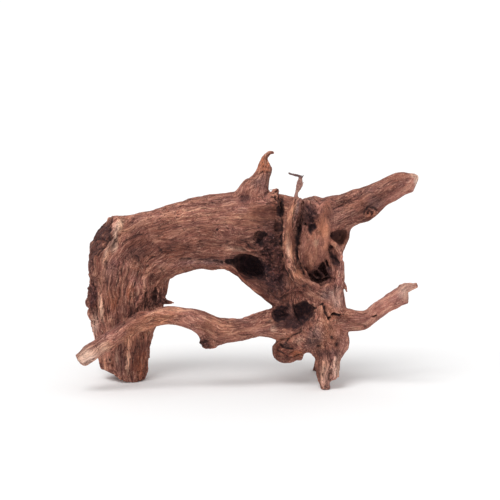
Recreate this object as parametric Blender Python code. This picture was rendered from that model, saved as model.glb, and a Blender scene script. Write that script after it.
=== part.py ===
"""A weathered piece of driftwood, one solid of wood.

A thick log bends down into a leg at its torn end. At its other end it grows into a knotted crown,
which carries a branch stub, a side root, a long front root and two feet. The piece stands on the
leg and on those two feet.

Each limb is a list of stations from its thick end to its thin one. A station is
(x, y, h, a, b) in millimetres: x to the right and y to the back are the place of the limb's
middle, a is its half thickness across the view from the front, and b its half depth. Heights h
are read along a sight line that falls by SIGHT towards the back, as one reads a standing piece.
"""

import math

import bmesh
import bpy
from mathutils import Matrix, Vector, noise

MM = 0.001
SIGHT = math.radians(10)  # the fall of the sight line on which heights are read
VIEW = Vector((0, math.cos(SIGHT), -math.sin(SIGHT)))  # along that line, to the back

RING_SPACING = 5  # mm between two rings of a limb
FUSE_VOXEL = 1.6 * MM  # cell of the grid on which the limbs grow together
SMOOTHING_ROUNDS = 3
MOST_TRIANGLES = 9200  # of the finished solid, before the twig is set on

LOG = [
    (52, 8, 165, 40, 30),
    (18, 10, 168, 44, 33),
    (-7, 12, 168.5, 42.5, 34),
    (-29, 14, 167.5, 41.2, 34),
    (-51, 17, 167, 40, 33),
    (-73, 19, 162, 39.2, 33),
    (-95, 21, 156, 39.5, 33),
    (-117, 23, 150, 39.8, 33),
    (-138, 25, 145, 41, 31),
    (-152, 26.5, 142, 41.5, 28),
    (-164, 28, 141, 41, 25),
    (-175, 29, 140, 39, 19),
]
LEG = [
    (-122, 26, 160, 40, 30),
    (-129, 26, 143, 47, 31),
    (-129.5, 26, 121, 45.5, 31),
    (-132, 25, 104, 43, 30),
    (-134.5, 24, 86, 42.5, 28),
    (-135.5, 23, 68, 36.5, 26),
    (-136.4, 22, 50, 31.5, 25),
    (-136, 21, 32, 28.5, 24),
    (-135.5, 20, 22, 26.5, 23),
    (-136, 18, 12, 25.5, 21),
    (-136.5, 17, 2, 24.5, 20),
    (-137, 16, -8, 23.5, 18),
]
CROWN = [
    (66, 4, 202.5, 10, 16),
    (75, 6, 185, 27, 28),
    (79, 8, 172, 37, 34),
    (75, 10, 152, 34.5, 36),
    (72, 10, 131, 34.5, 37),
    (71, 8, 109, 38, 37),
    (70, 5, 87, 39, 35),
    (71, 1, 65, 39, 32),
    (77, -3, 46, 37, 27),
    (82, -6, 33, 22, 20),
]
# The wood below the hollow log, which bounds the arch on its right.
FLANK = [
    (-16, 12, 143, 11, 24),
    (-4, 12, 134, 13, 26),
    (14, 12, 121, 14, 27),
    (30, 10, 108, 14, 27),
    (44, 8, 96, 15, 26),
]
# The lip under the hollow, a thin sheet of wood that runs from the log to the crown.
LIP = [
    (-44, 2, 140, 6, 8),
    (-20, -9, 131, 5, 7),
    (-6, -13, 120.5, 5, 7),
    (10, -15, 109, 6, 7),
    (26, -16, 97, 7, 8),
    (42, -16, 86, 8, 9),
]
BRANCH_STUB = [
    (74, 4, 172, 25, 25),
    (96, 3, 184.5, 22, 22),
    (112, 0, 191, 19.5, 19),
    (128, -3, 197, 20, 18),
    (145.5, -7, 207.5, 15.4, 14.5),
    (163, -11, 217, 14, 13),
    (172, -12, 220, 13, 12),
    (181, -14, 220, 11.2, 11),
    (185, -15, 218.5, 9.5, 9.5),
]
SIDE_ROOT = [
    (84, -6, 73, 16, 15),
    (104, -9, 71.5, 14, 14),
    (119.5, -12, 69.5, 12.4, 12),
    (128.3, -14, 70, 11.8, 11.5),
    (137, -16, 74.3, 9.4, 10),
    (145.5, -19, 82, 9.3, 9.5),
    (154, -22, 88, 9.6, 9),
    (162.6, -25, 93.7, 10.8, 9),
    (169.5, -28, 97.5, 11, 9.5),
    (176, -30, 98.5, 10.5, 8.5),
]
SIDE_ROOT_TIP = [
    (168, -29, 104, 7, 6),
    (175, -30, 107, 5, 5),
    (181, -31, 108, 3.8, 4),
    (187.5, -33, 108, 2, 2),
]
FRONT_ROOT = [
    (58, -10, 66, 20, 18),
    (38, -14, 67, 19, 17),
    (22.5, -18, 66.3, 15.4, 15),
    (5.5, -23, 62.6, 11.8, 13),
    (-12, -28, 60, 13.2, 12.5),
    (-26, -31, 60, 14, 12.5),
    (-41.5, -33, 65, 13, 12.5),
    (-55.5, -35, 71.5, 11.8, 12),
    (-69.5, -37, 74.5, 10.6, 11),
    (-84, -39, 76, 10.2, 10.5),
    (-98, -41, 74.5, 10.4, 10.5),
    (-112, -43, 70, 10.4, 10),
    (-125.5, -44, 64, 9.5, 9.7),
    (-139.5, -45, 55.5, 9.4, 9.5),
    (-153, -46, 47, 9.3, 9.3),
    (-167, -47, 37.2, 9.9, 9.2),
    (-176, -48, 30.6, 9.6, 9),
    (-182.5, -48, 26, 9.6, 9),
]
# A side shoot of the front root, broken off short.
ROOT_STUB = [
    (-24, -31, 59, 13, 11),
    (-33, -32, 54, 13, 10),
    (-39, -33, 51, 12, 8.5),
    (-45.5, -34, 49, 11, 7),
    (-50.5, -34, 48, 8, 5),
]
FRONT_FOOT = [
    (86, -4, 56, 27, 22),
    (91, -11, 41, 21.5, 18),
    (91, -18, 30, 16, 15),
    (89, -23, 20, 12.2, 13),
    (86, -27, 9, 9.8, 11),
    (86.8, -29, 0, 6.5, 9),
    (87.5, -30, -8, 4.5, 7),
]
# The split-off second tip of the front foot, which ends above the ground.
FOOT_TIP = [
    (95, -20, 32, 8, 9),
    (98, -24, 24, 5.5, 7),
    (97.5, -27, 13, 3.8, 5),
    (96, -28, 5, 2.4, 3),
]
BACK_FOOT = [
    (76, 14, 84, 20, 19),
    (82, 28, 67, 16, 16),
    (89, 42, 49, 12.5, 13),
    (90, 52, 34, 11.5, 11),
    (86, 59, 20, 9.5, 9.5),
    (84, 62, 4, 9, 9),
]
# A root of the crown's back, broken off above the ground.
BACK_ROOT = [
    (62, 22, 108, 18, 18),
    (54, 38, 104, 13, 13),
    (45, 52, 97, 10, 10),
    (38, 62, 92, 8, 8.5),
]
HORN = [
    (6, 12, 200, 24, 18),
    (9.5, 11, 213.5, 18, 15),
    (16, 10, 225, 10.8, 11.5),
    (19.8, 9, 235.5, 8.4, 9),
    (19.8, 8, 243.5, 6.4, 6.5),
    (20.6, 7, 249, 3.5, 3.6),
    (22.5, 6, 253, 2.4, 2.4),
    (26.5, 5, 254.5, 1.8, 1.8),
    (32, 4.5, 253, 1.3, 1.3),
]
# A splinter that stands out of the leg into the arch.
SPLINTER = [
    (-98, 8, 92, 8, 8),
    (-90, 7, 90.5, 4.5, 5),
    (-84, 6, 89.5, 2.6, 3),
    (-79, 6, 88.5, 1.4, 1.6),
]
# A root as thick as a finger that crosses in front of the niche from its top to its lower rim.
STRAP = [
    (60, -12, 208, 3, 4),
    (54.5, -20, 201, 5.2, 5),
    (49.5, -27, 188, 5.8, 5.5),
    (46, -32, 172, 5.6, 5.5),
    (45, -34, 155, 5.9, 5.5),
    (46.5, -34, 139, 6.2, 5.8),
    (51, -33, 125, 6.5, 6.5),
    (59, -31, 113, 7, 7.5),
    (71, -27, 104, 7, 8),
    (86, -17, 98, 6, 8),
]
# The thin strand that has split from the strap.
STRAP_STRAND = [
    (62, -19, 203, 2.2, 2.2),
    (58, -25, 192, 2.1, 2.1),
    (55.5, -30, 179, 1.9, 1.9),
    (52.5, -34, 166, 1.6, 1.6),
    (50.5, -35, 158, 1.3, 1.4),
]
# The plate of sound wood that stands inside the niche, and the smooth band along its right side.
TONGUE = [
    (72, -7, 177, 11, 9),
    (74, -9, 167, 14.5, 11),
    (75.5, -11, 155, 16, 12),
    (75, -11, 144, 15, 12),
    (73, -10, 134, 11, 11),
    (71, -7, 125, 5, 7),
]
TONGUE_BAND = [
    (86, -8, 200, 6, 8),
    (86.5, -14, 184, 5.5, 8),
    (86.5, -17, 168, 5.5, 8),
    (85.5, -16, 152, 5.5, 8),
    (82, -15, 140, 4.5, 7),
    (78, -11, 131, 4, 5),
]
# The rim on the niche's right side, two strands twisted round each other.
RIM_STRAND = [
    (90, -17, 160, 3.2, 4),
    (97, -20, 153, 3.2, 4),
    (102, -19, 145, 3.8, 5),
    (103.5, -17, 131, 4.6, 6.5),
    (103, -15, 114, 5.5, 8),
    (100, -7, 98, 6, 8),
]
INNER_STRAND = [
    (89, -15, 149, 3.2, 4),
    (91, -18, 140, 3.3, 4),
    (94.5, -18, 127, 3.6, 4),
    (99, -12, 113, 4.2, 5),
]
TWIG_NECK = [
    (54.3, -18, 203, 2.6, 2.4),
    (54.9, -17, 209.5, 1.7, 1.7),
    (56.2, -16.5, 212.5, 2.3, 2.2),
    (57.7, -16, 216, 3.2, 2.7),
    (58.4, -15, 220, 3.3, 2.7),
    (59.1, -15, 224.3, 2.4, 2.2),
    (59.3, -15, 227, 1.6, 1.6),
]
TWIG_BAR = [
    (60.4, -14.8, 227.2, 1.5, 1.5),
    (53.5, -15.4, 228.8, 1.4, 1.4),
    (46, -16, 230.8, 1.1, 1.1),
]

# Rounded masses: (x, y, h, half width, half depth, half height, turn in the front view in degrees).
BULB = (45.5, -10, 37, 17.2, 17, 14.3, 0)
BULB_NECK = (58, -8, 45, 20, 20, 12, 10)
HEEL = (101.5, -7, 46, 14, 13, 14.5, 0)
BRANCH_KNOT = (133.5, -13, 188, 9, 7, 8.5, 30)
BURR = (30, -14, 203, 8, 9, 9, 20)
BURR_TIP = (33.5, -10, 212, 3.8, 4, 4, 0)
ROUGH_WEB = (33, 10, 128, 20, 24, 20, 0)
ARCH_CORNER = (-84, 22, 122, 8, 20, 5.5, 45)
BARK_LUMP_UPPER = (-169, 24, 89, 9, 16, 11, 10)
BARK_LUMP_LOWER = (-167, 22, 77, 10, 15, 8, 0)
BACK_KNOT = (8, 40, 176, 13, 9, 11, 15)
CROWN_BACK = (60, 36, 112, 24, 14, 30, -20)

# Hollows, in the same form.
LOG_HOLLOW = (5, -14, 128.5, 20, 30, 13.5, -38)
LOG_HOLLOW_MOUTH = (-8, -26, 131, 15, 16, 6, -14)
UPPER_HOLLOW = (14, -26, 162, 7.5, 12, 6, 30)
NICHE = (76.5, -22, 155, 20, 34, 41, 4)
NICHE_FOOT = (84, -18, 121, 16, 22, 13, 20)
RIGHT_RECESS = (102, -14, 160, 10, 15, 9.5, 35)
RIM_RECESS = (98, -24, 132, 3.5, 10, 7, 10)
KNOT_HOLLOW_LEFT = (39, -32, 76, 9.5, 14, 9, 0)
KNOT_HOLLOW_RIGHT = (62, -34, 79, 14, 19, 13, 30)
KNOT_HOLLOW_FLOOR = (50, -36, 70, 19, 12, 10, -8)
LOG_KNOT = (-3, -24, 205, 5, 6, 3.5, 20)
STRAP_CREVICE = (34, -26, 180, 3.2, 14, 21, 6)
FOOT_NOTCH = (69.5, -8, 28, 7.5, 50, 10, 30)
BARK_NOTCH = (-176, 24, 83, 5, 40, 1.6, 0)
BACK_GROOVE = (-62, 54, 172, 42, 10, 7, -9)
BACK_CLEFT = (52, 56, 132, 7, 16, 24, 20)
BACK_KNOT_EYE = (8, 52, 177, 5, 7, 4, 15)

# Broken faces: a point of each and the way it faces.
TORN_END = ((-149.5, 31, 181.5), (-0.79, -0.26, 0.555))
BROKEN_HEEL = ((-147, 18, 9), (-0.48, -0.1, -0.87))
TORN_SIZE = 160
TORN_ROUGHNESS = 2.4


def at(x, y, h):
    """The place of a point whose height is read on the sight line, in metres."""
    return Vector((x, y, (h - y * math.sin(SIGHT)) / math.cos(SIGHT))) * MM


def through(stations, spacing):
    """Evenly spaced stations on a smooth curve through the given ones."""
    ends = [stations[0], *stations, stations[-1]]
    found = []
    for p0, p1, p2, p3 in zip(ends, ends[1:], ends[2:], ends[3:]):
        length = math.dist(p1[:3], p2[:3])
        steps = max(1, round(length / spacing))
        for step in range(steps):
            t = step / steps
            found.append(
                tuple(
                    b + t * (c - a + t * (2 * a - 5 * b + 4 * c - d + t * (3 * b - a - 3 * c + d))) / 2
                    for a, b, c, d in zip(p0, p1, p2, p3)
                )
            )
    return found + [stations[-1]]


def flute(angle, along, seed, size):
    """The share by which long ridges and furrows raise a limb's surface at this angle."""
    turn = Vector((math.cos(angle), math.sin(angle), 0))
    broad = noise.noise(turn * 1.3 + Vector((seed, 0, along / 90)))
    narrow = noise.noise(turn * 3.4 + Vector((0, seed, along / 60)))
    return size * (broad + 0.6 * narrow)


def limb(bm, stations, seed, sides=28, flutes=0.1):
    """A closed tube through the stations, wide and deep as they say, with ridges along it."""
    places = through(stations, RING_SPACING)
    middles = [at(*place[:3]) for place in places]
    rings = []
    along = 0
    for i, (middle, place) in enumerate(zip(middles, places)):
        way = (middles[min(i + 1, len(middles) - 1)] - middles[max(i - 1, 0)]).normalized()
        across = VIEW.cross(way).normalized()
        towards = way.cross(across).normalized()
        along += (middle - middles[max(i - 1, 0)]).length / MM
        ring = []
        for k in range(sides):
            angle = 2 * math.pi * k / sides
            swell = (1 + flute(angle, along, seed, flutes)) * MM
            offset = across * (place[3] * math.cos(angle)) + towards * (place[4] * math.sin(angle))
            ring.append(bm.verts.new(middle + offset * swell))
        rings.append(ring)
    for ring, following in zip(rings, rings[1:]):
        for k in range(sides):
            bm.faces.new((ring[k], ring[k - 1], following[k - 1], following[k]))
    bm.faces.new(rings[0])
    bm.faces.new(reversed(rings[-1]))


def lump(bm, form, seed, roughness=0.12, subdivisions=3):
    """An uneven ellipsoid, for a rounded mass or for a hollow's cutter."""
    x, y, h, half_width, half_depth, half_height, turn = form
    made = bmesh.ops.create_icosphere(bm, subdivisions=subdivisions, radius=MM)
    size = Matrix.Diagonal((half_width, half_depth, half_height, 1))
    for vert in made["verts"]:
        swell = 1 + roughness * noise.noise(vert.co / MM * 1.7 + Vector((seed, seed, 0)))
        vert.co = size @ (vert.co * swell)
    place = Matrix.Translation(at(x, y, h)) @ Matrix.Rotation(math.radians(-turn), 4, "Y")
    bmesh.ops.transform(bm, matrix=place, verts=made["verts"])


def object_of(name, bm):
    """A new object that holds this bmesh, with its faces pointing out."""
    bmesh.ops.recalc_face_normals(bm, faces=bm.faces)
    mesh = bpy.data.meshes.new(name)
    bm.to_mesh(mesh)
    bm.free()
    obj = bpy.data.objects.new(name, mesh)
    bpy.context.scene.collection.objects.link(obj)
    return obj


def helper(name, bm):
    """An object that only cuts or joins another."""
    obj = object_of(name, bm)
    obj.hide_render = True
    obj.display_type = "WIRE"
    return obj


def settle(obj):
    """Replaces the object's mesh by what its modifiers make of it."""
    bpy.context.view_layer.update()
    graph = bpy.context.evaluated_depsgraph_get()
    mesh = bpy.data.meshes.new_from_object(obj.evaluated_get(graph))
    obj.modifiers.clear()
    obj.data = mesh


def fuse(obj, voxel):
    """Grows overlapping bodies together into one skin."""
    remesh = obj.modifiers.new("fuse", "REMESH")
    remesh.mode = "VOXEL"
    remesh.voxel_size = voxel
    settle(obj)


def boolean(obj, other, operation):
    """Cuts the other object out of this one, or joins it on, and removes it."""
    modifier = obj.modifiers.new(operation.lower(), "BOOLEAN")
    modifier.operation = operation
    modifier.object = other
    settle(obj)
    bpy.data.objects.remove(other)


def soften(obj, rounds):
    """Smooths the whole skin a little."""
    bm = bmesh.new()
    bm.from_mesh(obj.data)
    everywhere = {"use_axis_x": True, "use_axis_y": True, "use_axis_z": True}
    for _ in range(rounds):
        bmesh.ops.smooth_vert(bm, verts=bm.verts, factor=0.5, **everywhere)
    bm.to_mesh(obj.data)
    bm.free()


def thick_wood():
    """The log with its torn end, the leg, the crown, the roots and the branch, grown together."""
    bm = bmesh.new()
    limb(bm, LOG, seed=1, sides=48, flutes=0.08)
    limb(bm, LEG, seed=21, sides=48, flutes=0.08)
    limb(bm, SPLINTER, seed=22, sides=12)
    limb(bm, CROWN, seed=2, sides=40, flutes=0.09)
    limb(bm, FLANK, seed=3)
    limb(bm, LIP, seed=4)
    limb(bm, BRANCH_STUB, seed=5, flutes=0.14)
    limb(bm, SIDE_ROOT, seed=6)
    limb(bm, SIDE_ROOT_TIP, seed=23, sides=12)
    limb(bm, FRONT_ROOT, seed=7, flutes=0.1)
    limb(bm, ROOT_STUB, seed=8)
    limb(bm, FRONT_FOOT, seed=9, flutes=0.16)
    limb(bm, FOOT_TIP, seed=10)
    limb(bm, BACK_FOOT, seed=11, flutes=0.16)
    limb(bm, BACK_ROOT, seed=24, flutes=0.16)
    limb(bm, HORN, seed=12)
    masses = (
        BULB,
        BULB_NECK,
        HEEL,
        BRANCH_KNOT,
        BURR,
        BURR_TIP,
        ROUGH_WEB,
        ARCH_CORNER,
        BACK_KNOT,
        CROWN_BACK,
    )
    for seed, form in enumerate(masses):
        lump(bm, form, seed)
    lump(bm, BARK_LUMP_UPPER, 10, roughness=0.3)
    lump(bm, BARK_LUMP_LOWER, 11, roughness=0.3)
    wood = object_of("driftwood", bm)
    fuse(wood, FUSE_VOXEL)
    boolean(wood, torn_slab(*TORN_END), "DIFFERENCE")
    boolean(wood, torn_slab(*BROKEN_HEEL), "DIFFERENCE")
    return wood


def torn_slab(point, facing):
    """A slab whose rough face tears off the wood that lies beyond the point."""
    bm = bmesh.new()
    bmesh.ops.create_grid(bm, x_segments=40, y_segments=40, size=TORN_SIZE / 2 * MM)
    for vert in bm.verts:
        coarse = noise.noise(vert.co / MM / 22)
        fine = noise.noise(vert.co / MM / 7 + Vector((3, 0, 0)))
        vert.co.z = TORN_ROUGHNESS * (coarse + 0.6 * fine) * MM
    raised = bmesh.ops.extrude_face_region(bm, geom=bm.faces[:])["geom"]
    top = [item for item in raised if isinstance(item, bmesh.types.BMVert)]
    bmesh.ops.translate(bm, vec=(0, 0, TORN_SIZE / 2 * MM), verts=top)
    turn = Vector(facing).to_track_quat("Z", "X").to_matrix().to_4x4()
    bmesh.ops.transform(bm, matrix=Matrix.Translation(at(*point)) @ turn, verts=bm.verts)
    return helper("torn_slab", bm)


def hollows_cutter():
    """Every hollow as one body of overlapping cutters."""
    bm = bmesh.new()
    forms = (
        LOG_HOLLOW,
        LOG_HOLLOW_MOUTH,
        UPPER_HOLLOW,
        NICHE,
        NICHE_FOOT,
        RIGHT_RECESS,
        RIM_RECESS,
        KNOT_HOLLOW_LEFT,
        KNOT_HOLLOW_RIGHT,
        KNOT_HOLLOW_FLOOR,
        LOG_KNOT,
        STRAP_CREVICE,
        FOOT_NOTCH,
        BARK_NOTCH,
        BACK_GROOVE,
        BACK_CLEFT,
        BACK_KNOT_EYE,
    )
    for seed, form in enumerate(forms):
        lump(bm, form, seed + 20, roughness=0.2)
    cutter = helper("hollows", bm)
    fuse(cutter, FUSE_VOXEL)
    return cutter


def add_strands(wood):
    """The slender strands in and round the niche, grown onto the wood."""
    bm = bmesh.new()
    bm.from_mesh(wood.data)
    limb(bm, STRAP, seed=13, sides=20, flutes=0.16)
    limb(bm, STRAP_STRAND, seed=14, sides=12)
    limb(bm, TONGUE, seed=15, sides=24)
    limb(bm, TONGUE_BAND, seed=16, sides=20)
    limb(bm, RIM_STRAND, seed=17, sides=16)
    limb(bm, INNER_STRAND, seed=18, sides=16)
    bm.to_mesh(wood.data)
    bm.free()
    fuse(wood, FUSE_VOXEL)


def thin_out(obj, triangles):
    """Lowers the number of triangles, where the surface is flattest first."""
    obj.data.calc_loop_triangles()
    decimate = obj.modifiers.new("thin out", "DECIMATE")
    decimate.ratio = triangles / len(obj.data.loop_triangles)
    settle(obj)


def twig():
    """The dry twig on top of the strap, with its broken crossbar."""
    bm = bmesh.new()
    limb(bm, TWIG_NECK, seed=19, sides=8)
    neck = object_of("twig", bm)
    bm = bmesh.new()
    limb(bm, TWIG_BAR, seed=20, sides=6)
    boolean(neck, helper("twig_bar", bm), "UNION")
    neck.hide_render = True
    return neck


def stand_on_ground(obj):
    """Cuts the feet flat at the ground and puts the origin under the middle of the piece."""
    bm = bmesh.new()
    bm.from_mesh(obj.data)
    everything = bm.verts[:] + bm.edges[:] + bm.faces[:]
    ground = {"plane_co": (0, 0, 0), "plane_no": (0, 0, 1)}
    cut = bmesh.ops.bisect_plane(bm, geom=everything, clear_inner=True, **ground)
    rims = [item for item in cut["geom_cut"] if isinstance(item, bmesh.types.BMEdge)]
    bmesh.ops.holes_fill(bm, edges=rims)
    low = [min(vert.co[axis] for vert in bm.verts) for axis in range(2)]
    high = [max(vert.co[axis] for vert in bm.verts) for axis in range(2)]
    middle = Vector(((low[0] + high[0]) / 2, (low[1] + high[1]) / 2, 0))
    print("origin lies at", [round(value / MM, 2) for value in middle])
    bmesh.ops.translate(bm, vec=-middle, verts=bm.verts)
    bmesh.ops.recalc_face_normals(bm, faces=bm.faces)
    bm.to_mesh(obj.data)
    bm.free()


def weathered_wood():
    """Dry red-brown wood with no finish on it."""
    material = bpy.data.materials.new("weathered_wood")
    material.use_nodes = True
    surface = material.node_tree.nodes["Principled BSDF"]
    surface.inputs["Base Color"].default_value = (0.21, 0.087, 0.067, 1)
    surface.inputs["Roughness"].default_value = 0.85
    surface.inputs["Metallic"].default_value = 0
    return material


def main():
    for obj in list(bpy.data.objects):
        bpy.data.objects.remove(obj)
    wood = thick_wood()
    boolean(wood, hollows_cutter(), "DIFFERENCE")
    add_strands(wood)
    soften(wood, SMOOTHING_ROUNDS)
    thin_out(wood, MOST_TRIANGLES)
    boolean(wood, twig(), "UNION")
    stand_on_ground(wood)
    wood.data.materials.clear()
    wood.data.materials.append(weathered_wood())


main()
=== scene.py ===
"""A weathered, gnarled piece of driftwood: its skin with grain, knots, cracks and hollows, and its twig.

Places on the front are read off the view from the front camera as (right, down) in steps of VIEW_STEP,
from the upper left corner of a square view of 500 steps. All sizes are in millimetres.
"""

import math

import bmesh
import bpy
import numpy as np
from mathutils import Matrix, Vector, bvhtree, kdtree, noise


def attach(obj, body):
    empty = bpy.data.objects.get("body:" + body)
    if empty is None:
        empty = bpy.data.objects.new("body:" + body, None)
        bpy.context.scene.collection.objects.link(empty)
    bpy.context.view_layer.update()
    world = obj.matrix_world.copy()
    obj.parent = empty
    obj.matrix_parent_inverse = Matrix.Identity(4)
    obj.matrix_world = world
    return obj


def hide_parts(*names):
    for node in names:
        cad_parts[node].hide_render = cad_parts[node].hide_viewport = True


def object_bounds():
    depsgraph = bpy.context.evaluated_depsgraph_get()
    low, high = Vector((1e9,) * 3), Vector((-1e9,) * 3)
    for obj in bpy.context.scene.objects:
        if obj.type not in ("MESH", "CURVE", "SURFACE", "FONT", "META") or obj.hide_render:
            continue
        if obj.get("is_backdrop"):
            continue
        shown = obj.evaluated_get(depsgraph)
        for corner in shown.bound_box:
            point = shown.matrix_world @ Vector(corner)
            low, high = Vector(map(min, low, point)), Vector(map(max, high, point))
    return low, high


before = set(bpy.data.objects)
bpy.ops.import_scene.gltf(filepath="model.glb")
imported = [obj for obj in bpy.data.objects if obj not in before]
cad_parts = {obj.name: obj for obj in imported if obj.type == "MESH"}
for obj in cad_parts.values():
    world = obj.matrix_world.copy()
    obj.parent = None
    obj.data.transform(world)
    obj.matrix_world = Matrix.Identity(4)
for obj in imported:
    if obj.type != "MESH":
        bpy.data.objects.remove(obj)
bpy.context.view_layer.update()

# The body of the wood. One grown solid: a log that bends down into a leg, and a knotted crown with
# roots, a branch and a horn. Its skin is a fine mesh over the solid, without the twig.
MM = 0.001
SIGHT = math.radians(10)  # the sight line of the front view falls by this towards the back
MIDDLE = (0.4, 6.62)  # where the solid's own middle lies in the stations' frame
SIGHT_LINE = Vector((0, math.cos(SIGHT), -math.sin(SIGHT)))
VIEW_STEP = 1.1
VIEW_WIDTH = 500  # steps
VIEW_ORIGIN = (246, 384)  # the step of the view where the stations' x and h are nought
VIEW_AIM = np.array((4.0, -6.62, 149.67))
VIEW_DISTANCE = 2500
SKIN_CELL = 1.1
SKIN_TRIANGLES = 197000


def at(x, y, h):
    """The place, in mm, of a station whose height is read along the sight line."""
    return Vector((x - MIDDLE[0], y - MIDDLE[1], (h - y * math.sin(SIGHT)) / math.cos(SIGHT)))


def through(stations, spacing):
    """Evenly spaced stations on a smooth curve through the given ones."""
    ends = [stations[0], *stations, stations[-1]]
    found = []
    for p0, p1, p2, p3 in zip(ends, ends[1:], ends[2:], ends[3:]):
        steps = max(1, round(math.dist(p1[:3], p2[:3]) / spacing))
        for step in range(steps):
            t = step / steps
            found.append(
                tuple(
                    b + t * (c - a + t * (2 * a - 5 * b + 4 * c - d + t * (3 * b - a - 3 * c + d))) / 2
                    for a, b, c, d in zip(p0, p1, p2, p3)
                )
            )
    return found + [stations[-1]]


def object_of(name, bm):
    """A new object that holds this bmesh."""
    mesh = bpy.data.meshes.new(name)
    bm.to_mesh(mesh)
    bm.free()
    obj = bpy.data.objects.new(name, mesh)
    bpy.context.scene.collection.objects.link(obj)
    return obj


def settle(obj):
    """Replaces the object's mesh by what its modifiers make of it."""
    bpy.context.view_layer.update()
    graph = bpy.context.evaluated_depsgraph_get()
    mesh = bpy.data.meshes.new_from_object(obj.evaluated_get(graph))
    obj.modifiers.clear()
    obj.data = mesh


def rod(bm, stations, sides, spacing):
    """A closed rod through the stations, extruded from a round."""
    others = set(bm.faces)
    line = through(stations, spacing)
    middles = [Vector(place[:3]) * MM for place in line]
    made = bmesh.ops.create_circle(bm, cap_ends=True, segments=sides, radius=1)
    ring = made["verts"]
    edges = list({edge for vert in ring for edge in vert.link_edges})
    pose = Matrix.Identity(4)
    for i, (middle, place) in enumerate(zip(middles, line)):
        way = (middles[min(i + 1, len(line) - 1)] - middles[max(i - 1, 0)]).normalized()
        right = SIGHT_LINE.cross(way).normalized()
        turn = Matrix((right, way.cross(right), way)).transposed().to_4x4()
        here = Matrix.Translation(middle) @ turn @ Matrix.Diagonal((place[3] * MM, place[4] * MM, 1, 1))
        if i:
            grown = bmesh.ops.extrude_edge_only(bm, edges=edges)["geom"]
            ring = [item for item in grown if isinstance(item, bmesh.types.BMVert)]
            edges = [item for item in grown if isinstance(item, bmesh.types.BMEdge)]
        bmesh.ops.transform(bm, matrix=here @ pose.inverted(), verts=ring)
        pose = here
    bmesh.ops.holes_fill(bm, edges=edges)
    bmesh.ops.recalc_face_normals(bm, faces=[face for face in bm.faces if face not in others])


def stationed(stations):
    """The stations as places in mm with their two half sizes."""
    return [(*at(*place[:3]), *place[3:]) for place in stations]


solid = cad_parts["driftwood"].data
tree = bvhtree.BVHTree.FromPolygons(
    [vert.co / MM for vert in solid.vertices], [poly.vertices for poly in solid.polygons]
)
viewer = Vector(VIEW_AIM) - SIGHT_LINE * VIEW_DISTANCE


def laid(points):
    """A strand on the front's wood through points of the view (right, down, half width, raised)."""
    upwards = Vector((0, math.sin(SIGHT), math.cos(SIGHT)))
    back = 0
    found = []
    for right, down, half, raised in points:
        aside = Vector(((right - 250) * VIEW_STEP, 0, 0)) + upwards * (250 - down) * VIEW_STEP
        sight = (Vector(VIEW_AIM) + aside - viewer).normalized()
        hit = tree.ray_cast(viewer, sight)[0]
        if hit is not None:
            back = (hit - Vector(VIEW_AIM)).dot(SIGHT_LINE)
        reach = (VIEW_DISTANCE + back - raised) / sight.dot(SIGHT_LINE)
        found.append((*(viewer + sight * reach), half, half))
    return found


def hung(points, y):
    """A free strand at this depth through points of the view (right, down, half width)."""
    right, down = VIEW_ORIGIN
    return stationed([((p[0] - right) * VIEW_STEP, y, (down - p[1]) * VIEW_STEP, p[2], p[2]) for p in points])


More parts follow.
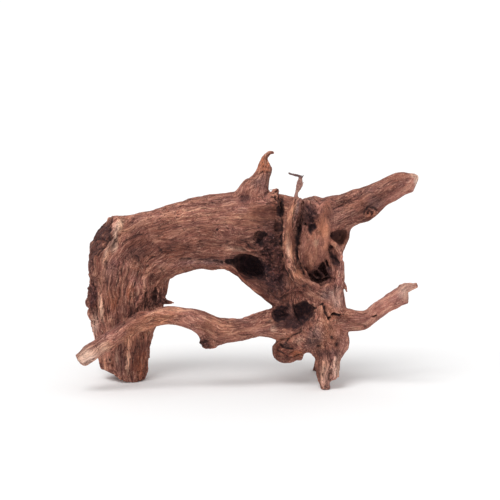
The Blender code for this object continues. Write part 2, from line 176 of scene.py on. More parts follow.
LAID_STRANDS = [
    [(265, 193, 1.0, 0.4), (270, 190, 1.4, 0.8), (276, 190, 1.6, 0.6), (279, 189, 1.5, 0.3)],
    [(267, 198, 1.0, 0.4), (272, 195, 1.4, 0.8), (277, 196.5, 1.4, 0.8), (281, 201, 1.1, 0.6)],
    [(269, 203, 1.0, 0.3), (274, 200, 1.4, 0.8), (278, 203, 1.3, 0.8), (280.5, 209, 1.0, 0.4)],
    [(273, 190.5, 1.0, 0.4), (274.5, 194, 1.3, 1.0), (272, 200, 1.1, 0.6)],
    [
        (256, 250, 1.3, 0.3), (261, 255, 1.6, 0.6), (262.5, 262, 1.4, 0.6), (266, 269, 1.7, 0.6),
        (267, 278, 1.3, 0.4),
    ],
    [(262, 246, 1.2, 0.3), (267, 252, 1.6, 0.6), (271, 261, 1.4, 0.5), (272, 270, 1.6, 0.5)],
    [(270, 276, 1.4, 0.4), (275, 283, 1.6, 0.5), (279, 291, 1.3, 0.4)],
    [(258, 245, 1.0, 0.4), (261, 241.5, 1.3, 0.9), (265, 239.5, 1.2, 0.8), (268, 235, 1.0, 0.4)],
    [(266, 244, 1.2, 0.4), (271, 240, 1.5, 0.7), (276, 238, 1.3, 0.5)],
    [
        (112, 217, 2.0, 0.0), (120, 224, 2.6, 0.4), (115, 236, 2.6, 0.4), (109, 249, 2.4, 0.4),
        (104, 262, 1.8, 0.2),
    ],
    [(100, 293, 1.4, 0.2), (101.5, 306, 1.8, 0.5), (105, 322, 1.4, 0.2)],
    [(126, 350, 1.2, 0.2), (128.5, 362, 1.7, 0.5), (128, 376, 1.2, 0.2)],
    [(167, 275, 1.4, 0.2), (155, 284, 1.9, 0.5), (142, 296, 2.0, 0.5), (132, 315, 1.6, 0.3)],
    [(148, 286, 1.2, 0.2), (150, 296, 1.6, 0.6), (147, 307, 1.3, 0.3)],
    [(157, 285, 1.2, 0.2), (158, 295, 1.6, 0.6), (154, 305, 1.3, 0.3)],
    [(322, 356, 2.2, 0.2), (323, 368, 3.0, 0.5), (326, 385, 2.2, 0.3)],
    [(335, 356, 2.2, 0.2), (335.5, 368, 3.0, 0.8), (334, 380, 2.0, 0.4)],
    [(340, 352, 2.2, 0.0), (338.5, 364, 2.6, 0.6), (337, 377, 1.8, 0.4)],
    [
        (366, 213, 1.0, 0.3), (368, 210, 1.4, 0.9), (373, 210.5, 1.5, 1.0), (374.5, 215, 1.4, 0.9),
        (370, 218, 1.2, 0.6),
    ],
    [(371, 214, 1.2, 0.8), (369, 214.5, 1.1, 0.8)],
    [
        (331, 246, 1.3, 0.2), (335, 252, 1.7, 0.7), (334, 260, 1.6, 0.8), (338, 268, 1.7, 0.6),
        (337, 278, 1.3, 0.3),
    ],
    [(341, 250, 1.2, 0.0), (341.5, 259, 1.7, 0.5), (340, 268, 1.5, 0.5), (342, 278, 1.4, 0.2)],
    [(280, 297, 1.3, 0.3), (290, 291, 1.8, 0.6), (301, 290, 1.7, 0.6), (312, 296, 1.3, 0.3)],
    [(315, 308, 1.4, 0.3), (316.5, 318, 2.0, 0.7), (313, 330, 1.9, 0.5), (310, 340, 1.4, 0.2)],
    [(324, 303, 1.3, 0.3), (331, 307, 1.8, 0.7), (337, 313, 1.6, 0.5), (343, 314, 1.2, 0.2)],
    [(287, 335, 1.2, 0.2), (296, 330, 1.7, 0.6), (304, 325, 1.5, 0.5), (311, 318, 1.2, 0.2)],
    [(276, 345, 1.3, 0.2), (286, 341, 1.9, 0.6), (295, 341, 1.6, 0.4), (303, 337, 1.2, 0.2)],
    [(235, 243, 1.1, 0.2), (242, 246, 1.5, 0.6), (249, 249.5, 1.5, 0.6), (255, 251, 1.1, 0.3)],
]
HORN_TIP = [(22, 6, 250, 3.1, 3.1), (26.5, 5, 254.6, 2.3, 2.3), (30.2, 4.7, 253.2, 1.6, 1.5)]
SPIKE = [(103, -8, 117, 2, 2), (108, -8.5, 110, 2, 2), (110.8, -8.5, 101, 1.1, 1.1)]
ROOT_TIP = [(174.9, -30, 104.5, 3.8, 3.6), (181, -31, 107, 3.5, 3.4), (187, -32, 109.2, 3.2, 3.2)]
ROOT_THORN = [(169.5, -27, 104, 2, 2), (171.5, -27.5, 108, 1.4, 1.4), (173.3, -27.5, 112, 0.9, 0.9)]
STRAP_FOOT = [
    (47.5, -35, 131, 5.4, 4.6),
    (52, -36, 121, 5.2, 4.4),
    (60, -35, 114, 4.8, 4.2),
    (70, -32, 109.5, 4.2, 3.8),
    (80, -27, 106.5, 3.2, 3.2),
]
NICHE_STRANDS = [
    [(299, 200, 1.9), (300, 209, 2.0), (303, 219, 1.8), (302, 231, 1.4)],
    [(303, 200, 1.8), (305, 208, 2.1), (304, 216, 1.9), (307, 225, 1.4)],
    [(307, 201, 1.8), (309, 210, 2.1), (308, 219, 1.9), (311, 229, 1.3)],
    [(313, 203, 1.8), (312, 212, 2.0), (315, 221, 1.9), (314, 230, 1.3)],
    [(317, 205, 1.8), (316, 214, 1.9), (318, 223, 1.6)],
    [(321, 204, 1.5), (319.5, 213, 1.6), (320.5, 223, 1.4)],
    [(300, 214, 1.0), (306, 212, 1.2), (312, 217, 1.2), (318, 213, 1.0)],
    [(309, 204, 1.6), (311.5, 212, 2.0), (311.5, 221, 1.6)],
]
FOOT_STRANDS = [
    [(302, 276, 1.3), (310, 283, 1.6), (320, 284, 1.5), (331, 279, 1.3)],
    [(309, 271, 1.2), (318, 278, 1.5), (329, 275, 1.5), (336, 268, 1.2)],
    [(324, 261, 1.2), (327, 270, 1.5), (333, 278, 1.4), (338, 284, 1.2)],
    [(315, 268, 1.1), (320, 272, 1.3), (327, 284, 1.3)],
]
NICHE_STRAND_DEPTHS = (-15, -16.5, -14.5, -16, -14, -15, -17, -12.5)
FOOT_STRAND_DEPTHS = (-15, -12, -16, -10)

TWIG_NECK = [
    (54.3, -18, 203, 2.6, 2.4),
    (54.9, -17, 209.5, 1.7, 1.7),
    (56.2, -16.5, 212.5, 2.3, 2.2),
    (57.7, -16, 216, 3.2, 2.7),
    (58.4, -15, 220, 3.3, 2.7),
    (59.1, -15, 224.3, 2.4, 2.2),
    (59.3, -15, 227, 1.6, 1.6),
]
TWIG_BAR = [
    (60.4, -14.8, 227.2, 1.5, 1.5),
    (53.5, -15.4, 228.8, 1.4, 1.4),
    (46, -16, 230.8, 1.1, 1.1),
]
TWIG_MARGIN = 0.9
STRAP_END = (61, -12, 211, 6.5)

bm = bmesh.new()
bm.from_mesh(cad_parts["driftwood"].data)
bmesh.ops.remove_doubles(bm, verts=bm.verts, dist=0.001 * MM)
twig_line = through(TWIG_NECK, 1)[7:] + through(TWIG_BAR, 1)
twig_wood = [(at(*place[:3]) * MM, (place[3] + TWIG_MARGIN) * MM) for place in twig_line]
twig_wood.append((at(*STRAP_END[:3]) * MM, STRAP_END[3] * MM))
on_twig = [v for v in bm.verts if any((v.co - place).length < reach for place, reach in twig_wood)]
bmesh.ops.delete(bm, geom=on_twig, context="VERTS")
bmesh.ops.holes_fill(bm, edges=[edge for edge in bm.edges if edge.is_boundary])
for strand in LAID_STRANDS:
    rod(bm, laid(strand), 10, 2)
for strand, depth in zip(NICHE_STRANDS + FOOT_STRANDS, NICHE_STRAND_DEPTHS + FOOT_STRAND_DEPTHS):
    rod(bm, hung(strand, depth), 10, 2)
for stations in (HORN_TIP, SPIKE, ROOT_TIP, ROOT_THORN, STRAP_FOOT):
    rod(bm, stationed(stations), 12, 2)
skin = object_of("driftwood_skin", bm)
remesh = skin.modifiers.new("even cells", "REMESH")
remesh.mode = "VOXEL"
remesh.voxel_size = SKIN_CELL * MM
settle(skin)


class Surface:
    """The skin's points, in mm, and what is worked out on them."""

    def __init__(self, mesh):
        self.mesh = mesh
        self.count = len(mesh.vertices)
        places = np.empty(self.count * 3, np.float32)
        mesh.vertices.foreach_get("co", places)
        self.places = places.reshape(-1, 3).astype(float) / MM
        edges = np.empty(len(mesh.edges) * 2, np.int32)
        mesh.edges.foreach_get("vertices", edges)
        ends = edges.reshape(-1, 2)
        self.near = np.concatenate([ends[:, 0], ends[:, 1]])
        self.far = np.concatenate([ends[:, 1], ends[:, 0]])

    def gathered(self, values, weights=None):
        """Each point's mean of the values at the points next to it."""
        if weights is None:
            weights = np.ones(len(self.near))
        total = np.bincount(self.near, weights, self.count) + 1e-9
        if values.ndim == 1:
            return np.bincount(self.near, weights * values[self.far], self.count) / total
        columns = [np.bincount(self.near, weights * column[self.far], self.count) for column in values.T]
        return np.stack(columns, axis=1) / total[:, None]

    def smoothed(self, values, rounds, share=0.6, weights=None):
        for _ in range(rounds):
            values = values + share * (self.gathered(values, weights) - values)
        return values

    def store(self):
        """Writes the points back to the mesh."""
        self.mesh.vertices.foreach_set("co", (self.places * MM).astype(np.float32).ravel())
        self.mesh.update()

    def normals(self):
        self.store()
        found = np.empty(self.count * 3, np.float32)
        self.mesh.vertex_normals.foreach_get("vector", found)
        return found.reshape(-1, 3).astype(float)

    def noise(self, cell, seed):
        """Soft noise from about -1 to 1 whose lumps are as wide as the cell."""
        shift = Vector((seed * 17.3, seed * 5.1, seed * 11.7))
        return np.array([noise.noise(Vector(place) + shift) for place in self.places / cell]) * 1.6


SMOOTHING_ROUNDS = 10
SMOOTHING_IN = 0.5
SMOOTHING_OUT = -0.52  # swells the skin again, so that thin limbs don't shrink

surface = Surface(skin.data)
for _ in range(SMOOTHING_ROUNDS):
    surface.places = surface.smoothed(surface.places, 1, SMOOTHING_IN)
    surface.places = surface.smoothed(surface.places, 1, SMOOTHING_OUT)

# The grain. Wood fibres run along each limb and round every knot. A limb is a list of stations
# (x, y, h, half width, half depth), as in the solid, and its letter keeps neighbours apart.
LIMBS = {
    "log": ("a", [
        (52, 8, 165, 40, 30), (7, 11, 168, 43, 34), (-29, 14, 167.5, 41.2, 34),
        (-73, 19, 162, 39.2, 33), (-103, 23, 150, 42, 32), (-122, 25, 130, 45, 31),
        (-130, 25, 106, 44, 30), (-134.5, 24, 80, 42, 28), (-136, 22, 50, 31.5, 25),
        (-137, 17, 0, 24, 20),
    ]),
    "crown": ("b", [
        (64, 4, 206, 12, 16), (76, 7, 179, 33, 31), (75, 10, 152, 34.5, 36), (72, 10, 126, 35, 37),
        (70, 5, 90, 39, 35), (71, 1, 65, 39, 32), (80, -5, 50, 34, 28), (90, -9, 41, 22, 18),
        (91, -18, 30, 16, 15), (88, -24, 16, 11, 12), (87.5, -30, -8, 6, 8),
    ]),
    "flank": ("c", [
        (-16, 12, 143, 11, 24), (14, 12, 121, 14, 27), (44, 8, 96, 15, 26),
    ]),
    "lip": ("b", [
        (-44, 2, 140, 6, 8), (-20, -9, 131, 5, 7), (-6, -13, 120.5, 5, 7), (10, -15, 109, 6, 7),
        (26, -16, 97, 7, 8), (42, -16, 86, 8, 9),
    ]),
    "branch": ("a", [
        (74, 4, 172, 25, 25), (112, 0, 191, 19.5, 19), (128, -3, 197, 20, 18), (163, -11, 217, 14, 13),
        (187, -15, 226, 11, 10),
    ]),
    "side root": ("a", [
        (84, -6, 73, 16, 15), (119.5, -12, 69.5, 12.4, 12), (137, -16, 74.3, 9.4, 10),
        (162.6, -25, 93.7, 10.8, 9), (187, -32, 109, 8, 7),
    ]),
    "front root": ("a", [
        (58, -10, 66, 20, 18), (22.5, -18, 66.3, 15.4, 15), (-5, -26, 60.5, 12.5, 12.5),
        (-26, -31, 60, 14, 12.5), (-55.5, -35, 71.5, 11.8, 12), (-84, -39, 76, 10.2, 10.5),
        (-112, -43, 70, 10.4, 10), (-139.5, -45, 55.5, 9.4, 9.5), (-188, -48, 21, 9.6, 9),
    ]),
    "horn": ("c", [
        (2, 12, 196, 28, 20), (9.5, 11, 213.5, 18, 15), (19.8, 9, 235.5, 8.4, 9),
        (20.6, 7, 249, 3.5, 3.6), (26.5, 5, 254.5, 1.8, 1.8), (34, 4.5, 253, 1.3, 1.3),
    ]),
    "strap": ("c", [
        (60, -12, 208, 3, 4), (54.5, -20, 201, 5.2, 5), (49.5, -27, 188, 5.8, 5.5),
        (46, -32, 172, 5.6, 5.5), (45, -34, 155, 5.9, 5.5), (46.5, -34, 139, 6.2, 5.8),
        (51, -33, 125, 6.5, 6.5), (59, -31, 113, 7, 7.5), (71, -27, 104, 7, 8), (86, -17, 98, 6, 8),
    ]),
    "strand": ("a", [
        (62, -19, 203, 2.2, 2.2), (55.5, -30, 179, 1.9, 1.9), (50.5, -35, 158, 1.3, 1.4),
    ]),
    "tongue": ("a", [
        (72, -7, 177, 11, 9), (75.5, -11, 155, 16, 12), (71, -7, 125, 5, 7),
    ]),
    "band": ("c", [
        (86, -8, 200, 6, 8), (86.5, -17, 168, 5.5, 8), (82, -15, 140, 4.5, 7), (78, -11, 131, 4, 5),
    ]),
    "rim": ("c", [
        (90, -17, 160, 3.2, 4), (102, -19, 145, 3.8, 5), (103, -15, 114, 5.5, 8), (100, -7, 98, 6, 8),
    ]),
    "inner strand": ("a", [
        (89, -15, 149, 3.2, 4), (94.5, -18, 127, 3.6, 4), (99, -12, 113, 4.2, 5),
    ]),
    "bulb": ("c", [
        (74, -8, 55, 16, 16), (55, -9, 44, 17, 17), (36, -10, 34, 15, 15),
    ]),
    "back foot": ("a", [
        (76, 14, 84, 20, 19), (89, 42, 49, 12.5, 13), (86, 59, 20, 9.5, 9.5), (84, 62, -6, 9, 9),
    ]),
    "back root": ("c", [
        (62, 22, 108, 18, 18), (45, 52, 97, 10, 10), (36, 66, 90, 8, 8.5),
    ]),
}
LIMB_SPACING = 6
LIMB_EDGE = 2.2  # how softly one limb's grain gives way to the next one's
LETTERS = "abc"
SLENDER = ("strap", "strand", "rim", "inner strand")


class Grain:
    """The fibres' direction on the skin, and each letter's coordinates across and along them."""

    def __init__(self, surface):
        count = surface.count
        self.share = np.zeros((count, 3))
        self.fibres = np.zeros((count, 3, 3))
        best = np.zeros((count, 3))
        self.way = np.zeros((count, 3))
        strongest = np.zeros(count)
        self.limb = {}
        for name, (letter, stations) in LIMBS.items():
            across, depth, along, way, outside = self.measured(surface.places, stations)
            share = 1 / (1 + np.exp(np.clip(outside / LIMB_EDGE, -30, 30)))
            self.limb[name] = share
            column = LETTERS.index(letter)
            here = share > best[:, column]
            best[here, column] = share[here]
            fibres = np.stack([across, depth, along], axis=1)
            self.fibres[here, column] = fibres[here] + 41 * len(self.limb)
            self.share[:, column] = np.maximum(self.share[:, column], share)
            sign = np.where((self.way * way).sum(axis=1) < 0, -1, 1)
            before = np.where(strongest < share, sign, 1)
            added = np.where(strongest < share, share, share * sign)
            self.way = self.way * before[:, None] + way * added[:, None]
            strongest = np.maximum(strongest, share)
        self.share = self.share**2 + 1e-6
        self.share /= self.share.sum(axis=1)[:, None]

    def measured(self, places, stations):
        """How far each place lies across, behind, along and outside a limb, and the limb's way there."""
        line = through(stations, LIMB_SPACING)
        middles = [at(*place[:3]) for place in line]
        ways = [
            (middles[min(i + 1, len(line) - 1)] - middles[max(i - 1, 0)]).normalized()
            for i in range(len(line))
        ]
        rights = [SIGHT_LINE.cross(way).normalized() for way in ways]
        backs = [way.cross(right).normalized() for way, right in zip(ways, rights)]
        run = np.cumsum([0] + [(b - a).length for a, b in zip(middles, middles[1:])])
        middles, ways, rights, backs = (np.array(rows) for rows in (middles, ways, rights, backs))
        halves = np.array([place[3:] for place in line])
        squares = (places**2).sum(axis=1)[:, None] - 2 * places @ middles.T + (middles**2).sum(axis=1)
        reach = 0.5 * halves.min(axis=1) ** 2 + 30
        weight = np.exp(-(squares - squares.min(axis=1)[:, None]) / (2 * reach))
        weight /= weight.sum(axis=1)[:, None]
        along = (weight * (run + places @ ways.T - (middles * ways).sum(axis=1))).sum(axis=1)
        across = (weight * (places @ rights.T - (middles * rights).sum(axis=1))).sum(axis=1)
        depth = (weight * (places @ backs.T - (middles * backs).sum(axis=1))).sum(axis=1)
        size = weight @ halves
        beyond = np.maximum(np.maximum(-along, along - run[-1]), 0)
        out = np.hypot(across / size[:, 0], depth / size[:, 1]) - 1
        outside = np.maximum(out * size.min(axis=1), beyond)
        way = weight @ ways
        return across, depth, along, way / np.linalg.norm(way, axis=1)[:, None], outside


grain = Grain(surface)


def seen(places):
    """Where the places lie in the front view, in steps right and down, and how far back, in mm."""
    down_sight = np.array(SIGHT_LINE)
    upwards = np.array((0, math.sin(SIGHT), math.cos(SIGHT)))
    offset = places - VIEW_AIM
    back = offset @ down_sight
    nearness = VIEW_DISTANCE / (VIEW_DISTANCE + back)
    right = 250 + offset[:, 0] * nearness / VIEW_STEP
    down = 250 - (offset @ upwards) * nearness / VIEW_STEP
    return right, down, back


# What the front shows. A line is a list of places with its half width and its height in mm, which
# is below nought for a crack; a spot is (right, down, half width, half height, turn, height in mm).
KNOTS = [
    (243.5, 198.5, 6.5), (161, 249, 5), (134, 261, 8), (262, 238, 9), (371, 215, 8), (302, 338, 5),
    (338, 344, 5),
]
CRACKS = [
    ([(89, 240.5), (99, 238.5), (106, 239.5), (111, 237)], 1.7, -3.0),
    ([(93, 246), (99, 243), (107, 241.5)], 1.1, -0.9),
    ([(111.5, 217), (110.5, 227), (108, 236), (104, 246), (97, 254)], 1.7, -3.6),
    ([(91, 252), (97, 249), (104, 246)], 1.2, -1.8),
    ([(97, 228), (103, 227), (108, 224)], 0.9, -1.0),
    ([(128, 255), (130, 266), (127, 276), (129, 290)], 1.2, -1.3),
    ([(140, 268), (136, 280), (131, 292), (129, 306)], 1.2, -1.3),
    ([(119, 262), (117, 276), (120, 290), (117, 304)], 1.1, -1.1),
    ([(146, 262), (156, 256), (168, 254)], 1.1, -0.9),
    ([(126, 240), (130, 237), (135, 235), (142, 234)], 1.3, -1.3),
    ([(131, 264), (136, 263.5), (139, 260)], 1.2, -1.1),
    ([(158, 251), (161, 252.5), (165, 251)], 1.2, -1.0),
    ([(157, 260), (166, 261), (176, 259)], 1.1, -0.8),
    ([(180, 259.5), (195, 260), (210, 262), (222, 262), (234, 260)], 2.6, -1.6),
    ([(226, 262), (236, 261), (246, 260)], 3.0, -2.0),
    ([(246, 243), (252, 248), (256, 250)], 1.3, -1.4),
    ([(257, 242), (259, 239), (262, 237), (267, 234), (270, 233)], 1.7, -2.0),
    ([(257, 244), (260, 246), (262, 243)], 1.8, -2.0),
    ([(267, 252), (272, 250), (276, 246), (281, 244)], 1.3, -1.3),
    ([(218, 247), (224, 244), (229, 246), (236, 249), (244, 250)], 1.1, -0.8),
    ([(258, 173.5), (263, 171), (270, 172.5)], 1.2, -1.2),
    ([(281, 198), (281, 207), (281.5, 216), (281, 229)], 2.6, -2.6),
    ([(296, 198), (294.5, 210), (293.2, 224), (292.6, 238)], 1.1, -1.4),
    ([(267, 190.5), (272, 193), (278, 192)], 0.9, -1.3),
    ([(269, 196.5), (274, 197.5), (279.5, 202)], 0.9, -1.3),
    ([(271, 203), (276, 204), (280, 209)], 0.9, -1.2),
    ([(288, 258), (289, 266), (291, 272)], 0.9, -0.8),
    ([(284, 203), (281.5, 222), (281.5, 238), (282.5, 252), (284, 264), (287.5, 276)], 1.5, -2.0),
    ([(245, 227), (256, 228), (264, 225), (270, 219)], 1.2, -0.7),
    ([(240, 220), (252, 220), (262, 215)], 1.0, -0.5),
    ([(232, 208.5), (247, 210.5), (261, 207.5), (271, 202)], 1.0, -0.9),
    ([(160, 225), (180, 222), (204, 224), (226, 221)], 1.0, -0.6),
    ([(150, 238), (172, 240), (196, 236), (214, 238)], 1.0, -0.6),
    ([(364, 200), (376, 196), (390, 190)], 0.9, -0.7),
    ([(364, 217), (364.5, 211), (368, 207.5), (374, 207.5), (377, 211)], 1.2, -1.4),
    ([(368, 214), (370, 211.5), (373, 213), (371, 216)], 0.8, -1.6),
    ([(306, 300), (310, 306), (314, 308.5)], 1.2, -1.4),
    ([(329, 319), (331.5, 317), (334, 314)], 1.4, -3.2),
    ([(293, 304), (295, 311), (299, 319), (301, 323)], 1.3, -2.0),
    ([(298, 216), (297, 238), (297.2, 252), (299, 263), (305, 272)], 2.9, -3.4),
    ([(288, 270), (290, 276), (292, 281)], 1.3, -1.5),
    (
        [(313, 308.5), (318, 306), (323, 304), (325, 310), (330, 319), (334, 314), (339, 316), (344, 314)],
        1.4, -2.4,
    ),
    ([(276, 350), (282, 352), (287, 357)], 1.0, -1.6),
    ([(280, 344), (286, 348), (292, 349)], 1.4, -2.2),
    ([(291, 358), (297, 357.5), (303, 353.5)], 1.0, -1.5),
    ([(286, 342), (290, 337), (296, 334.5), (301, 331), (302, 328)], 1.2, -1.7),
    ([(330.5, 361), (331, 370), (330.5, 379), (331, 386)], 0.9, -1.2),
    ([(351, 201), (357, 198), (362, 193), (369, 190)], 1.1, -0.9),
    ([(349, 320), (356, 324), (366, 326)], 1.1, -1.0),
    ([(350, 313), (355, 316), (358, 314)], 1.0, -0.7),
    ([(372, 317), (376, 316.5)], 1.2, -1.6),
    ([(330, 250), (333, 257), (338, 263)], 1.3, -1.6),
    ([(146, 290), (147, 299), (145, 307)], 1.2, -1.3),
    ([(152, 292), (155, 300), (153, 306)], 1.4, -1.5),
    ([(160, 290), (161, 298), (158, 304)], 1.2, -1.2),
    ([(126, 303), (126, 314), (123, 324)], 1.3, -1.2),
    ([(132, 296), (136, 309), (134, 318)], 1.1, -1.0),
]
RIDGES = [
    ([(278, 309), (284, 310), (286, 316), (281, 319), (276, 317)], 1.2, 1.4),
    ([(291, 304), (292, 311), (292, 317), (297, 325)], 1.5, 1.8),
    ([(300, 306), (306, 310), (306, 318), (300, 321)], 1.2, 1.2),
    ([(240, 262), (250, 268), (258, 276)], 1.3, 0.8),
    ([(230, 204), (246, 206), (260, 203), (269, 197)], 1.5, 0.7),
    ([(226, 212), (246, 214.5), (261, 211), (273, 206)], 1.7, 0.7),
    ([(220, 231), (238, 230), (256, 226), (270, 216)], 1.6, 0.6),
    ([(150, 268), (170, 261), (196, 266), (222, 268)], 2.2, 0.6),
    ([(271, 314), (276, 305.5), (287, 305), (296, 302.5), (306, 299), (314, 305), (316, 316)], 1.5, 1.0),
    ([(316, 316), (311, 326), (299, 332), (284, 330), (274, 323)], 1.5, 0.9),
    ([(111, 218), (114, 225), (111, 240), (106, 256), (103, 268)], 2.2, 1.0),
    ([(120, 221), (122, 228), (118, 237)], 2.0, 0.6),
    ([(101, 296), (103, 308), (104, 322)], 1.6, 0.9),
    ([(127, 352), (128.5, 362), (128, 374)], 1.6, 0.7),
    ([(116, 353), (116, 361)], 1.2, 0.6),
    ([(228, 267), (240, 277), (252, 289), (264, 299), (275, 304)], 1.6, 0.7),
    ([(258, 171), (264, 168.5), (270, 170)], 1.5, 0.8),
    ([(316, 312), (316, 322), (312, 331)], 1.8, 0.8),
    ([(329, 300), (335, 308), (341, 309)], 1.8, 0.8),
    ([(329, 240), (337, 244), (341, 253), (342, 266), (344, 281)], 1.6, 0.8),
]
PITS = [
    (338, 344.5, 2.6, 3.0, 0, -2.6), (332, 337.5, 2.0, 2.4, 0, -1.8), (320, 346.5, 2.6, 2.2, 0, -1.8),
    (340, 351, 1.4, 1.4, 0, -1.0), (302, 338, 2.2, 2.0, 0, -1.0), (338, 288, 1.4, 1.4, 0, -1.2),
    (322, 288, 1.8, 1.2, 0, -1.2), (304, 287.5, 3.0, 2.0, 0, -1.8), (302.5, 282, 1.4, 1.4, 0, -1.2),
    (112, 366.5, 1.5, 1.5, 0, -1.3), (161, 249.5, 2.0, 2.6, 0, -2.2), (158.5, 247.5, 1.2, 1.2, 0, -1.4),
    (217, 229, 1.4, 1.4, 0, -1.8), (217, 224, 1.0, 1.0, 0, -0.8), (375.5, 316.5, 1.8, 1.4, 0, -1.5),
    (261, 240, 4, 3, -30, -1.0),
]
HOLLOWS = [
    (100.5, 231, 12.5, 7.5, -38, 2.0, 0.38), (96, 247, 5, 7, 20, 1.2, 0.3),
    (253, 267, 16.5, 11.5, 24, 6, 1), (238, 262, 12, 7.5, 14, 2.5, 0.7),
    (281.5, 314, 9.5, 8.5, 0, 8, 0.66), (279.5, 310.5, 6, 4.5, -20, 1, 0.95),
    (277, 317, 2.6, 5, 10, 1, 0.9), (304, 312, 11, 10.5, 0, 5, 0.72), (304.5, 308, 8, 7, 20, 1, 0.97),
    (303, 319, 5, 3, 0, 1, 0.9), (292, 321, 18, 9, -8, 3, 0.5), (309, 216, 9, 11, 18, 1, 0.3),
    (312, 228, 4.2, 6, 20, 6, 0.95), (297.7, 240, 2.8, 26, 4, 3, 0.95),
    (293, 315, 20.5, 12.5, 0, 2, 0.58), (266, 277, 6, 6, 0, 1.5, 0.55),
    (244, 198.5, 6, 4, -10, 1.8, 0.4), (321, 275, 13, 7, -22, 2, 0.25),
    (345, 234, 6.5, 4.5, 10, 2, 0.35), (340, 243, 4, 7, 25, 1.5, 0.3), (262, 234, 4.5, 2, -14, 2, 0.6),
    (259.5, 241, 3.4, 4.6, -30, 2.5, 0.7), (280.3, 207, 3.8, 13, 2, 2.5, 0.9),
    (281.5, 232, 2.4, 15, 0, 2, 0.7), (334, 261, 3.8, 7, -20, 1.5, 0.5), (275, 281, 8, 9, 20, 2, 0.45),
]
